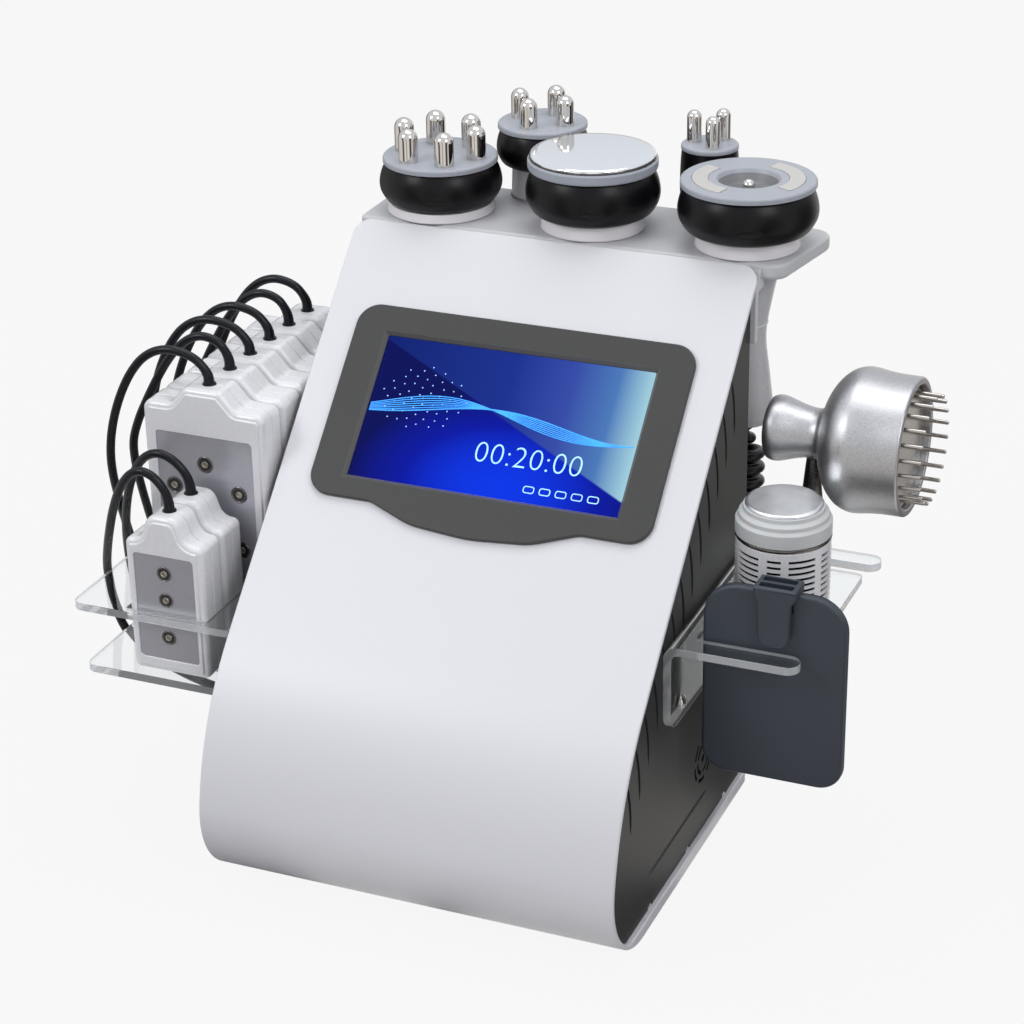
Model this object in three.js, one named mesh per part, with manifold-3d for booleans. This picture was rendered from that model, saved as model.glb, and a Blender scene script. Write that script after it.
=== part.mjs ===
// Table-top body-care machine: a wedge-shaped body with a sloping display, five hand-held heads standing in
// a top tray, eight light pads in a clear rack on the left, and a clear holder on the right with a cooling
// head, a pin massager and an electrode paddle.
// Millimetres. +X is the machine's right as its user sees it, +Y its rear and +Z up. While the pieces are
// made, X = 0 is the middle of the shell, Y = 0 the middle of its depth and Z = 0 the surface it stands on.
import * as THREE from "three";
import { mergeVertices } from "three/addons/utils/BufferGeometryUtils.js";
import Module from "manifold-3d";

const wasm = await Module();
wasm.setup();

// Sizes shared by all pieces
const clearance = 0.3; // between two pieces that touch
const overrun = 2; // how far a cutting tool runs past the face that it cuts
const fullTurn = 360; // degrees
const cornerStep = 30; // degrees of one facet on a rounded corner
const fineCornerStep = 20;
const roundSides = 16; // facets round a large round piece
const handleSides = 12;
const barSides = 10;

// White shell, bent from one sheet: slope, nose, toe and base
const shellWidth = 260;
const shellWall = 3;
const baseThickness = 8;
const frontY = -118.5;
const rearSetback = 7.54; // how far the rear cover lies in front of the slope's top edge
const topHeight = 346;
const slopeAngle = 45; // degrees above the horizontal
const noseRadius = 166;
const noseHeight = 32.5; // height at which the nose stands upright
const footHeight = 2;
const footRadius = 9;
const footInset = 24;
const topCornerRadius = 11;
const windowMargin = 1; // shell window round the display

// Dark side panels, set in a little from the shell's edges
const panelInset = 3;
const panelThickness = 2.5;
const ventPitch = 20.4; // along the slope
const ventStart = 58.3; // from the slope's top edge to the first vent
const ventTopDepth = 15; // straight down from the slope's outer face to a vent's top
const ventLength = 38;
const ventLean = 7; // how far a vent's foot lies behind its top
const ventBow = 3.6;
const ventWidth = 2.2;
const speakerSetback = 74.7; // from the rear cover
const speakerZ = 60;
const speakerRadius = 15.5;
const speakerSlot = 2.6;
const speakerGapAngle = 18; // degrees between two of its slots
const creaseZ = 34;
const creaseShares = [0.15, 0.7]; // of the panel's bottom edge
const creaseWidth = 1.6;
const creaseDepth = 0.8;
const notchLength = 7;
const notchHeight = 2.5;
const notchShares = [0.174, 0.493, 0.822]; // of the panel's bottom edge

// Rear cover with its fan grille, sockets and cord gland
const coverThickness = 2.5;
const fanMargin = 85; // from the shell's left edge to its middle
const fanDrop = 121; // below the top
const fanSize = 60;
const fanDepth = 15;
const fanSlot = 4;
const fanSlotParts = 3; // of each ring of the grille
const fanGapAngle = 26; // degrees between two of its slots
const socketRadius = 8.5;
const socketLength = 5;
const socketDepth = 2;
const socketPitch = 26;
const socketMargin = 100; // from the shell's right edge to the row's middle
const socketZ = 118;
const socketCount = 5;
const glandRadius = 8;
const glandLength = 9;

// Screen bezel and display on the slope; distances down the slope are from its top edge
const bezelWidth = 216;
const bezelTop = 56.5;
const bezelBottom = 181;
const bezelCorner = 14;
const bezelRise = 3.2;
const lipHalfWidth = 66;
const lipDepth = 12;
const lipCornerShare = 0.25; // of the lip's half width
const openingWidth = 171;
const openingTop = 75;
const openingBottom = 166.5;
const openingBevel = 1.6;
const glassRise = 1;
const displayDepth = 12;
const displayFlange = 8;
const buttonRadius = 2.2;

// Top tray with three round seats and two notches open to the rear
const trayThickness = 10;
const trayRim = 2.2; // beside the last seat
const trayFlare = 12; // how much wider it is on the right at the rear
const trayLap = 2.96; // from the slope's top edge to its front edge
const trayDepth = 80.3;
const trayCornerDepth = 9.5;
const trayShoulder = 30;
const trayCorner = 12;
const trayEdge = 2.4; // rounding of its upper and lower edges
const seatDepth = 6;
const seatLedge = 4;
const seatLedgeShare = 0.2; // of a small seat's radius
const flangeThickness = 5;
const flangeHeight = 36;

// Clear acrylic pad rack on the left
const sheetThickness = 5;
const rackUpperZ = 152; // top of the upper level
const rackLowerZ = 111; // top of the shelf that the pads stand on
const rackFrontMargin = 6; // in front of the first pad
const rackRearMargin = 5;
const rackUpperMargin = 21.5; // left of the large pads
const rackLowerMargin = 15.5;
const rackPlateInset = 18;
const rackCorner = 7;
const rackPlay = 1; // between a pad and its opening

// Light pads: six large ones behind two small ones
const padThickness = 25;
const padSpacing = 1.2;
const padGroupGap = 5.8; // between the small pads and the large ones
const padStandoff = 2.2; // from the rack's upright plate
const largePad = {
  width: 82,
  shoulder: 150.5,
  neck: 162,
  neckWidth: 24,
  stepWidth: 44,
  corner: 5,
  diodeShares: [[0, 0.87], [-0.48, 0.73], [0.48, 0.73]], // of the half width and of the plate's height
};
const smallPad = {
  width: 52,
  shoulder: 87,
  neck: 103.5,
  neckWidth: 19,
  stepWidth: 31,
  corner: 4.5,
  diodeShares: [[0, 0.18], [0, 0.5], [0, 0.81]],
};
const largeCount = 6;
const smallCount = 2;
const firstSmallY = -47.5;
const plateMarginShare = 1 / 9; // of the pad's width
const plateDepth = 0.8;
const diodeRadius = 4.2;
const diodeRise = 1.2;
const diodeSides = 6;

// Pad cables
const cableRadius = 2.7;
const cableSides = 6;
const cableSteps = 22;
const glandSides = 6;
const cableGlandRadius = 5;
const cableGlandLength = 7;
const cableGlandDrop = 29; // below the shelf that the pads stand on
const cableGlandSetback = 25.7; // of the last gland, from the rear cover
const cableGlandPitch = 17;

// Clear acrylic tool holder on the right
const holderFrontY = -30;
const holderTopZ = 173;
const holderHeight = 56;
const holderEnd = 8.9; // of the main shelf beyond the cooling head's hole
const fingerLength = 72.7;
const rearFingerLength = 79.7;
const fingerWidth = 15;
const stemSlotLead = 22; // how far each slot runs in past what stands in it
const paddleSlotLead = 3.5;
const holderCorner = 12;
const holderScrewShares = [0.12, 0.72]; // along the holder
const screwRadius = 4;
const screwHead = 2.2;

// Cooling head that stands in the holder
const coolStandoff = 19.1; // from the side panel
const coolY = 43;
const coolRadius = 27.5;
const coolHandleRadius = 23.5;
const coolHeight = 66.7; // above the holder
const coolHandleLength = 85;
const coolCollarHeight = 17;
const coolDiscRadius = 22.4;
const coolDiscRise = 2.2;
const coolBandHeight = 2;
const coolSpindleRadius = 15;
const slotRows = 9;
const slotColumns = 5; // of wide slots, with a narrow one between each two
const slotPitch = 3.7;
const slotHeight = 1.5;
const slotDepth = 1.8;
const wideSlotAngle = 35; // degrees
const narrowSlotAngle = 17;
const slotTurn = -48.6; // of the first wide slot
const narrowSlotTurn = -35.3; // from a wide slot to the narrow one beside it
const slotTopGap = 4.6;

// Pin massager whose stem stands in the holder's rear slot; lengths along its axis are from its knob
const massagerNeck = 27.5; // from its knob's end to its stem
const massagerTuck = 9.5; // how far it reaches over the cooling head, seen from above
const massagerRise = 16.3; // of its axis above the cooling head
const massagerLength = 88;
const massagerRadius = 43;
const mouthRadius = 36.5;
const mouthDepth = 4;
const combDiscThickness = 2;
const combPins = 22;
const combPinRadius = 1.1;
const combPinLength = 16;
const combPinSides = 4;
const combRingRadius = 31.5;
const stemStandoff = 39.7; // from the holder's upright plate
const stemPlay = 0.8;
const stemRadius = 8.5;
const stemFlangeRadius = 10;
const stemFlangeHeight = 6;
const tangRadius = 5.2;
const tangLength = 30;
const neckRadius = 15.2;

// Electrode paddle that hangs in the holder's front slot
const paddleStandoff = 12.2; // from the holder's upright plate
const paddlePlay = 2.75;
const paddleWidth = 84;
const paddleHeight = 120;
const paddleRise = 36; // above the holder
const paddleThickness = 6.5;
const paddleCorner = 21;
const paddleLowCorner = 15;
const paddleEdge = 1.4;
const sleeveOffset = 1; // to the right of the paddle's middle
const sleeveWidth = 25;
const sleeveProud = 5.75;
const sleeveDepth = 17.6;
const sleeveRise = 4.5; // above the paddle
const sleeveWall = 2.6;
const sleeveSlotDepth = 16;

// Hand-held heads in the tray, with their sizes as they fit a shell of the width below. On another shell
// they follow its width. Heights are from the tray's top face, and setbacks from its front edge.
const headsShellWidth = 260;
const headSizes = {
  six_pin: {
    x: -88,
    setback: 30.3,
    seatRadius: 28.5,
    ringRadius: 33.5,
    ringHeight: 6,
    bowlRadius: 38,
    bowlHeight: 31,
    faceRadius: 35.6,
    faceHeight: 35,
  },
  four_pin: {
    x: -39.5,
    setback: 78.8,
    seatRadius: 20,
    ringRadius: 20,
    ringHeight: 20,
    bowlRadius: 29,
    bowlHeight: 43,
    faceRadius: 28,
    faceHeight: 47,
  },
  cavitation: {
    x: 12.5,
    setback: 30.8,
    seatRadius: 28.5,
    ringRadius: 32,
    ringHeight: 9,
    bowlRadius: 41,
    bowlHeight: 37.5,
    faceRadius: 39.6,
    faceHeight: 44,
  },
  three_pin: {
    x: 71,
    setback: 76.8,
    seatRadius: 15,
    ringRadius: 15,
    ringHeight: 10,
    bowlRadius: 18,
    bowlHeight: 41.5,
    faceRadius: 17.6,
    faceHeight: 45,
  },
  vacuum: {
    x: 111,
    setback: 30.3,
    seatRadius: 28.5,
    ringRadius: 31.5,
    ringHeight: 9.5,
    bowlRadius: 42,
    bowlHeight: 37.5,
    faceRadius: 40.6,
    faceHeight: 41.5,
  },
};
const pinSizes = {
  six_pin: { circleRadius: 24, pinRadius: 6.1, pinHeight: 20.5 },
  four_pin: { circleRadius: 16.5, pinRadius: 5.6, pinHeight: 18.5 },
  three_pin: { circleRadius: 10.3, pinRadius: 4.5, pinHeight: 19.5 },
};
const pinCounts = { six_pin: 6, four_pin: 4, three_pin: 3 };
const pinTurns = { six_pin: 0, four_pin: -10, three_pin: -62 }; // degrees
const pinSides = 8;
const handleLength = 102; // below the tray
const carrierThickness = 2;
const handleSizes = {
  large: { topRadius: 20, waistRadius: 12.6, footRadius: 18 },
  middle: { topRadius: 15, waistRadius: 11, footRadius: 15 },
  slim: { topRadius: 11, waistRadius: 8.6, footRadius: 10.6 },
};
const discSizes = { discRadius: 38.4, discThickness: 3, studRadius: 12 };
const cupSizes = { cupRadius: 18, cupDepth: 8, cupWall: 2, ballRadius: 3.8 };
const crescentSizes = { innerRadius: 24, outerRadius: 33.5 };
const crescentHalfAngle = 52; // degrees
const crescentTurns = [205, 25]; // degrees, where each crescent's middle points
const crescentRise = 0.4;
const thumbDimples = 3; // round a large bowl
const dimpleLength = 7;
const dimpleHeight = 2.6;
const dimpleDepth = 1.6;
const dimpleTurn = -70; // degrees
const dimpleHeightShare = 0.42; // of the bowl's height

// Curly cord of the vacuum head
const curlCount = 13;
const curlPitch = 9.4;
const curlRadius = 10.6;
const curlCordRadius = 3.6;
const curlSides = 5;
const curlSteps = 8; // per curl
const curlLeadSteps = 4; // steps over which the first and the last curl open out
const curlStartShare = 1.6; // of the tail, from the cord's end to its first curl
const curlTail = 8;
const curlDrop = 18; // from the last curl's tail down to the rear gland

// Pieces inside
const boardSize = [100, 70, 1.6];
const boardMargin = 14; // from the left side panel
const boardShare = 0.457; // of the body's depth
const boardStand = 6;
const boardPostRadius = 3;
const chipSize = [22, 22, 4];
const coilSize = [16, 30, 18];
const supplySize = [62, 96, 38];
const supplyMargin = 21.5; // from the right side panel
const supplyGap = 19; // from the pump's motor
const supplyRib = 3;
const supplySlots = 8;
const pumpRadius = 17;
const pumpLength = 46;
const pumpHeadSize = [40, 26, 44];
const pumpMargin = 34.5; // from the right side panel
const pumpSetback = 34.7; // from the rear cover
const pumpFootHeight = 6;
const barbRadius = 3;
const barbLength = 12;
const rotorHubRadius = 9;
const rotorBlades = 5;
const rotorClearance = 1.2;
const rotorBladeThickness = 1.6;
const rotorBladePitch = 38; // degrees
const bladeDepthShare = 0.8; // of the rotor's depth
const fanWall = 2;
const inletMargin = 7.5; // from the left side panel
const inletZ = 52;
const inletWidth = 50;
const inletHeight = 62;
const inletFlange = 2.5;
const inletDepth = 20;
const inletCavity = [25, 17];
const inletPin = [2, 14, 4.5];
const inletPinPitch = 7;
const rockerSize = [12.5, 20];
const rockerThrow = 10; // degrees
const rockerPivotDepth = 3;
const rockerAxleRadius = 1;
const rockerCrown = 2.6;
const rockerPlay = 1.8;

// Positions worked out from the sizes above
const slope = THREE.MathUtils.degToRad(slopeAngle);
const slopeStart = {
  y: frontY + noseRadius * (1 - Math.cos(slope)),
  z: noseHeight + noseRadius * Math.sin(slope),
};
const slopeLength = (topHeight - slopeStart.z) / Math.sin(slope);
const slopeTop = { y: slopeStart.y + slopeLength * Math.cos(slope), z: topHeight };
const baseZ = footHeight;
const floorZ = baseZ + baseThickness; // top of the base inside
const toeRadius = noseHeight - baseZ;
const toeY = frontY + toeRadius; // where the base turns up into the toe
const rearY = slopeTop.y - rearSetback;
const bodyDepth = rearY - frontY;
const ventTopY = slopeTop.y - ventStart * Math.cos(slope);
const ventCount = Math.floor((slopeLength - ventStart) / ventPitch) + 1;
const speakerY = rearY - speakerSetback;
const fanX = -shellWidth / 2 + fanMargin;
const fanZ = topHeight - fanDrop;
const socketRowX = shellWidth / 2 - socketMargin;
const panelFace = shellWidth / 2 - panelInset; // outer face of a side panel
const panelInner = panelFace - panelThickness;
const plateFace = panelFace + clearance; // inner face of the rack's and the holder's upright plates
const plateOuter = plateFace + sheetThickness;

const headShare = shellWidth / headsShellWidth;
const heads = fittedEach(headSizes);
const pinSets = fittedEach(pinSizes);
const handles = fittedEach(handleSizes);
const disc = fitted(discSizes);
const cup = fitted(cupSizes);
const crescentRing = fitted(crescentSizes);

const trayTop = topHeight;
const trayFrontY = slopeTop.y + trayLap;
const trayRearY = trayFrontY + trayDepth * headShare;
const trayLeft = -shellWidth / 2;
const trayRightFront = heads.vacuum.x + heads.vacuum.seatRadius + clearance + trayRim;

const padPitch = padThickness + padSpacing;
const padCentreX = -plateOuter - padStandoff - largePad.width / 2;
const firstLargeY = firstSmallY + (smallCount - 1) * padPitch + padThickness + padGroupGap;
const largeLeft = padCentreX - largePad.width / 2;
const rackFrontY = firstSmallY - padThickness / 2 - rackFrontMargin;
const rackRearY = firstLargeY + (largeCount - 1) * padPitch + padThickness / 2 + rackRearMargin;
const cableGlandFirstY = rearY - cableGlandSetback - (smallCount + largeCount - 1) * cableGlandPitch;
const cableGlandZ = rackLowerZ - cableGlandDrop;

const coolX = panelFace + coolStandoff + coolRadius;
const coolTop = holderTopZ + coolHeight;
const holderHoleRadius = coolHandleRadius + rackPlay;
const stemX = plateOuter + stemStandoff;
const massagerX = stemX - massagerNeck;
const massagerY = coolY + coolRadius + massagerRadius - massagerTuck;
const massagerZ = coolTop + massagerRise;
const stemSlot = 2 * (tangRadius + stemPlay);
const holderRearY = massagerY + stemSlot / 2 + fingerWidth;
const holderBottomZ = holderTopZ - holderHeight;
const paddleLeft = plateOuter + paddleStandoff;
const paddleSlot = paddleThickness + 2 * paddlePlay;
const paddleSlotY = holderFrontY + fingerWidth;
const paddleFrontY = paddleSlotY + paddlePlay;
const paddleTopZ = holderTopZ + paddleRise;
const sleeveX = paddleLeft + paddleWidth / 2 + sleeveOffset;
const sleeveFrontY = paddleFrontY - sleeveProud;
const sleeveTopZ = paddleTopZ + sleeveRise;

const boardX = -panelInner + boardMargin + boardSize[0] / 2;
const boardY = frontY + bodyDepth * boardShare;
const supplyX = panelInner - supplyMargin - supplySize[0] / 2;
const pumpX = panelInner - pumpMargin - pumpHeadSize[0] / 2;
const pumpY = rearY - pumpSetback;
const supplyY = pumpY - pumpRadius - supplyGap - supplySize[1] / 2;
const inletX = -panelInner + inletMargin + inletWidth / 2;

// Materials
function finish(color, roughness, metalness = 0, extra = {}) {
  return new THREE.MeshStandardMaterial({ color, roughness, metalness, ...extra });
}
const white = finish(0xe9e9ee, 0.35);
const darkGrey = finish(0x3c3c3e, 0.5);
const bezelGrey = finish(0x474747, 0.4);
const screenBlue = finish(0x123ca8, 0.1);
const lightGrey = finish(0xd2d3d7, 0.4);
const rubber = finish(0x0d0d10, 0.45);
const frosted = finish(0xaab4c2, 0.5);
const steel = finish(0xb9b6b0, 0.15, 1);
const satin = finish(0xa9aaac, 0.35, 1);
const acrylic = finish(0xdfe4e6, 0.05, 0, { transparent: true, opacity: 0.35 });
const slate = finish(0x39414c, 0.6);
const cordBlack = finish(0x101114, 0.5);
const plastic = finish(0x17181a, 0.5);
const board = finish(0x1f6a3a, 0.6);
const rockerRed = finish(0x8e1616, 0.4);

// Solids: a closed geometry becomes a manifold to be cut or joined, and comes back as a geometry.
function solid(geometry) {
  const bare = geometry.clone();
  bare.deleteAttribute("normal");
  bare.deleteAttribute("uv");
  const merged = mergeVertices(bare);
  const index = merged.index.array;
  const corners = [];
  for (let i = 0; i < index.length; i += 3) {
    const [a, b, c] = [index[i], index[i + 1], index[i + 2]];
    if (a !== b && b !== c && c !== a) corners.push(a, b, c);
  }
  return new wasm.Manifold(
    new wasm.Mesh({
      numProp: 3,
      vertProperties: merged.attributes.position.array,
      triVerts: new Uint32Array(corners),
    }),
  );
}

function surface(body) {
  const data = body.getMesh();
  const geometry = new THREE.BufferGeometry();
  geometry.setAttribute("position", new THREE.BufferAttribute(new Float32Array(data.vertProperties), 3));
  geometry.setIndex(new THREE.BufferAttribute(new Uint32Array(data.triVerts), 1));
  const flat = geometry.toNonIndexed();
  flat.computeVertexNormals();
  return flat;
}

function join(...geometries) {
  return surface(geometries.map(solid).reduce((all, next) => all.add(next)));
}

function cut(geometry, tools) {
  return surface(tools.map(solid).reduce((rest, tool) => rest.subtract(tool), solid(geometry)));
}

// Outlines and basic solids
function arcPoints(x, y, radius, from, to, steps) {
  return Array.from({ length: steps + 1 }, (unused, i) => {
    const angle = THREE.MathUtils.degToRad(from + ((to - from) * i) / steps);
    return new THREE.Vector2(x + radius * Math.cos(angle), y + radius * Math.sin(angle));
  });
}

// A closed outline from [x, y, radius] corners, each rounded with its own radius.
function outline(corners, step = cornerStep) {
  const points = [];
  corners.forEach(([x, y, radius = 0], i) => {
    const at = new THREE.Vector2(x, y);
    if (!radius) {
      points.push(at);
      return;
    }
    const before = corners[(i + corners.length - 1) % corners.length];
    const after = corners[(i + 1) % corners.length];
    const u = new THREE.Vector2(before[0] - x, before[1] - y).normalize();
    const v = new THREE.Vector2(after[0] - x, after[1] - y).normalize();
    const half = Math.acos(THREE.MathUtils.clamp(u.dot(v), -1, 1)) / 2;
    const centre = at.clone().addScaledVector(u.clone().add(v).normalize(), radius / Math.sin(half));
    const first = at.clone().addScaledVector(u, radius / Math.tan(half)).sub(centre).angle();
    let turn = at.clone().addScaledVector(v, radius / Math.tan(half)).sub(centre).angle() - first;
    turn = Math.atan2(Math.sin(turn), Math.cos(turn));
    const from = THREE.MathUtils.radToDeg(first);
    const sweep = THREE.MathUtils.radToDeg(turn);
    const steps = Math.max(1, Math.ceil(Math.abs(sweep) / step));
    points.push(...arcPoints(centre.x, centre.y, radius, from, from + sweep, steps));
  });
  return points;
}

function rectangle(x0, y0, x1, y1, radius = 0) {
  return outline([
    [x0, y0, radius],
    [x1, y0, radius],
    [x1, y1, radius],
    [x0, y1, radius],
  ]);
}

function circle(x, y, radius, sides) {
  return arcPoints(x, y, radius, 0, fullTurn - fullTurn / sides, sides - 1);
}

// Ring sector between two radii, for arc-shaped slots.
function sector(x, y, inner, outer, from, to, steps) {
  return [...arcPoints(x, y, outer, from, to, steps), ...arcPoints(x, y, inner, to, from, steps)];
}

// Frames that stand an outline up: the outline's own x and y, then the direction in which it is extruded.
const upright = {
  X: new THREE.Matrix4().makeBasis(axis(0, 1, 0), axis(0, 0, 1), axis(1, 0, 0)),
  Y: new THREE.Matrix4().makeBasis(axis(0, 0, 1), axis(1, 0, 0), axis(0, 1, 0)),
  Z: new THREE.Matrix4(),
};

function axis(x, y, z) {
  return new THREE.Vector3(x, y, z);
}

// Prism of an outline from one place to another along an axis. Along X the outline is in (Y, Z), along Y in
// (Z, X) and along Z in (X, Y). An edge rounds both ends by one bevel inside the outline's own size.
function prism(points, from, to, along = "Z", edge = 0, holes = []) {
  const shape = new THREE.Shape(points);
  shape.holes = holes.map((hole) => new THREE.Path(hole));
  const geometry = new THREE.ExtrudeGeometry(shape, {
    depth: to - from - 2 * edge,
    bevelEnabled: edge > 0,
    bevelThickness: edge,
    bevelSize: edge,
    bevelOffset: -edge,
    bevelSegments: 1,
  });
  geometry.translate(0, 0, from + edge);
  return geometry.applyMatrix4(upright[along]);
}

function box(x0, x1, y0, y1, z0, z1) {
  const geometry = new THREE.BoxGeometry(x1 - x0, y1 - y0, z1 - z0);
  return geometry.translate((x0 + x1) / 2, (y0 + y1) / 2, (z0 + z1) / 2);
}

// Body of revolution about Z from [radius, height] points, bottom first.
function revolved(profile, segments = roundSides) {
  const points = profile.map(([radius, height]) => new THREE.Vector2(radius, height));
  return new THREE.LatheGeometry(points, segments).rotateX(Math.PI / 2);
}

// Profile from shares of a radius and a height, raised to where it starts.
function shared(shares, radius, height, start = 0) {
  return shares.map(([r, h]) => [r * radius, start + h * height]);
}

// Round bar about an axis through a point.
function bar(radius, length, along, x, y, z, sides = barSides) {
  const geometry = new THREE.CylinderGeometry(radius, radius, length, sides);
  if (along === "X") geometry.rotateZ(-Math.PI / 2);
  if (along === "Z") geometry.rotateX(Math.PI / 2);
  return geometry.translate(x, y, z);
}

const machine = new THREE.Group();
const rigid = new THREE.Group();
const cords = new THREE.Group();
machine.add(rigid, cords);

function add(name, geometry, material, parent = rigid) {
  const mesh = new THREE.Mesh(geometry, material);
  mesh.name = name;
  parent.add(mesh);
  return mesh;
}

// The body's side outline, moved inwards: toe, nose and the start of the slope, in (Y, Z).
const toeSteps = 5;
const noseSteps = 7;
function frontEdge(inset) {
  const toe = arcPoints(toeY, noseHeight, toeRadius - inset, -90, -180, toeSteps);
  const noseY = frontY + noseRadius;
  const nose = arcPoints(noseY, noseHeight, noseRadius - inset, 180, 180 - slopeAngle, noseSteps);
  return [...toe, ...nose.slice(1)];
}

function slopeZ(y, inset) {
  return slopeStart.z + (y - slopeStart.y) * Math.tan(slope) - inset / Math.cos(slope);
}

// Frame of the slope: x to the right, y up the slope and z out of it, from the middle of its top edge.
const slopeFrame = new THREE.Matrix4().makeBasis(
  axis(1, 0, 0),
  axis(0, Math.cos(slope), Math.sin(slope)),
  axis(0, -Math.sin(slope), Math.cos(slope)),
);
slopeFrame.setPosition(0, slopeTop.y, slopeTop.z);

function makeShell() {
  const inner = frontEdge(shellWall).reverse();
  const side = [
    new THREE.Vector2(rearY, baseZ),
    ...frontEdge(0),
    new THREE.Vector2(slopeTop.y, slopeTop.z),
    new THREE.Vector2(slopeTop.y + shellWall * Math.sin(slope), slopeTop.z - shellWall * Math.cos(slope)),
    ...inner,
    new THREE.Vector2(toeY, floorZ),
    new THREE.Vector2(rearY, floorZ),
  ];
  const halfWindow = openingWidth / 2 + windowMargin;
  const window = prism(
    rectangle(-halfWindow, -openingBottom - windowMargin, halfWindow, -openingTop + windowMargin),
    -shellWall - overrun,
    overrun,
  ).applyMatrix4(slopeFrame);
  const tools = [window];
  for (const hand of [-1, 1]) {
    const corner = hand * (shellWidth / 2);
    const centre = corner - hand * topCornerRadius;
    const reach = corner + hand * overrun;
    const arc = arcPoints(centre, -topCornerRadius, topCornerRadius, hand > 0 ? 0 : 180, 90, 4);
    const waste = [
      new THREE.Vector2(reach, arc[0].y),
      ...arc,
      new THREE.Vector2(centre, overrun),
      new THREE.Vector2(reach, overrun),
    ];
    tools.push(prism(waste, -shellWall - overrun, overrun).applyMatrix4(slopeFrame));
  }
  const feet = [];
  const footLength = footHeight + baseThickness / 2;
  for (const x of [-shellWidth / 2 + footInset, shellWidth / 2 - footInset])
    for (const y of [toeY + footInset, rearY - footInset])
      feet.push(bar(footRadius, footLength, "Z", x, y, footLength / 2));
  const sheet = cut(prism(side, -shellWidth / 2, shellWidth / 2, "X"), tools);
  add("front_shell", join(sheet, ...feet), white);
}

// One vent: a crescent that starts under the slope and leans back as it comes down.
function ventTool(index, x0, x1) {
  const topY = ventTopY - index * ventPitch * Math.cos(slope);
  const topZ = slopeZ(topY, 0) - ventTopDepth;
  const run = 3;
  const edge = (bow) =>
    Array.from({ length: run + 1 }, (unused, i) => {
      const t = i / run;
      return new THREE.Vector2(topY + ventLean * t + bow * 4 * t * (1 - t), topZ - ventLength * t);
    });
  const near = edge(ventBow - ventWidth);
  const far = edge(ventBow).reverse().slice(1, -1);
  return prism([...near, ...far], x0, x1, "X");
}

function makeSidePanel(name, hand) {
  const inset = shellWall + clearance;
  const bottom = floorZ + clearance;
  const edge = frontEdge(inset).filter((point) => point.y > bottom);
  const side = [
    new THREE.Vector2(rearY, bottom),
    new THREE.Vector2(edge[0].x + toeRadius / 2, bottom),
    ...edge,
    new THREE.Vector2(rearY, slopeZ(rearY, inset)),
  ];
  const [outer, inner] = [hand * panelFace, hand * (panelFace - panelThickness)];
  const [x0, x1] = [Math.min(outer, inner), Math.max(outer, inner)];
  const [t0, t1] = [x0 - overrun, x1 + overrun];
  const tools = Array.from({ length: ventCount }, (unused, i) => ventTool(i, t0, t1));
  const alongBase = (share) => toeY + (rearY - toeY) * share;
  for (const share of notchShares) {
    const y = alongBase(share);
    tools.push(box(t0, t1, y, y + notchLength, bottom - overrun, bottom + notchHeight));
  }
  if (hand > 0) {
    const grille = [
      [speakerRadius, 6],
      [speakerRadius - 2 * speakerSlot, 4],
    ];
    for (const [radius, parts] of grille)
      for (let i = 0; i < parts; i++) {
        const start = (fullTurn * i) / parts;
        const end = start + fullTurn / parts - speakerGapAngle;
        const arc = sector(speakerY, speakerZ, radius - speakerSlot, radius, start, end, 2);
        tools.push(prism(arc, t0, t1, "X"));
      }
    tools.push(prism(circle(speakerY, speakerZ, speakerSlot, pinSides), t0, t1, "X"));
  }
  const face = hand > 0 ? [outer - creaseDepth, outer + overrun] : [outer - overrun, outer + creaseDepth];
  const crease = creaseShares.map(alongBase);
  tools.push(box(...face, ...crease, creaseZ - creaseWidth / 2, creaseZ + creaseWidth / 2));
  let geometry = cut(prism(side, x0, x1, "X"), tools);
  if (hand < 0) geometry = join(geometry, ...padPlaces().map(({ y }) => cableGland(y)));
  add(name, geometry, darkGrey);
}

// Places of the light pads along the rack, with their own sizes.
function padPlaces() {
  const small = Array.from({ length: smallCount }, (unused, i) => ({
    name: "small_pad_" + (i + 1),
    size: smallPad,
    y: firstSmallY + i * padPitch,
  }));
  const large = Array.from({ length: largeCount }, (unused, i) => ({
    name: "large_pad_" + (i + 1),
    size: largePad,
    y: firstLargeY + i * padPitch,
  }));
  return [...small, ...large];
}

// Under the rack each pad cable goes into the left panel at a gland of its own.
function glandY(y) {
  const index = padPlaces().findIndex((place) => place.y === y);
  return cableGlandFirstY + index * cableGlandPitch;
}

function cableGland(y) {
  const length = cableGlandLength + panelThickness / 2;
  const x = -panelFace - length / 2 + panelThickness / 2;
  return bar(cableGlandRadius, length, "X", x, glandY(y), cableGlandZ, glandSides);
}

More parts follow.
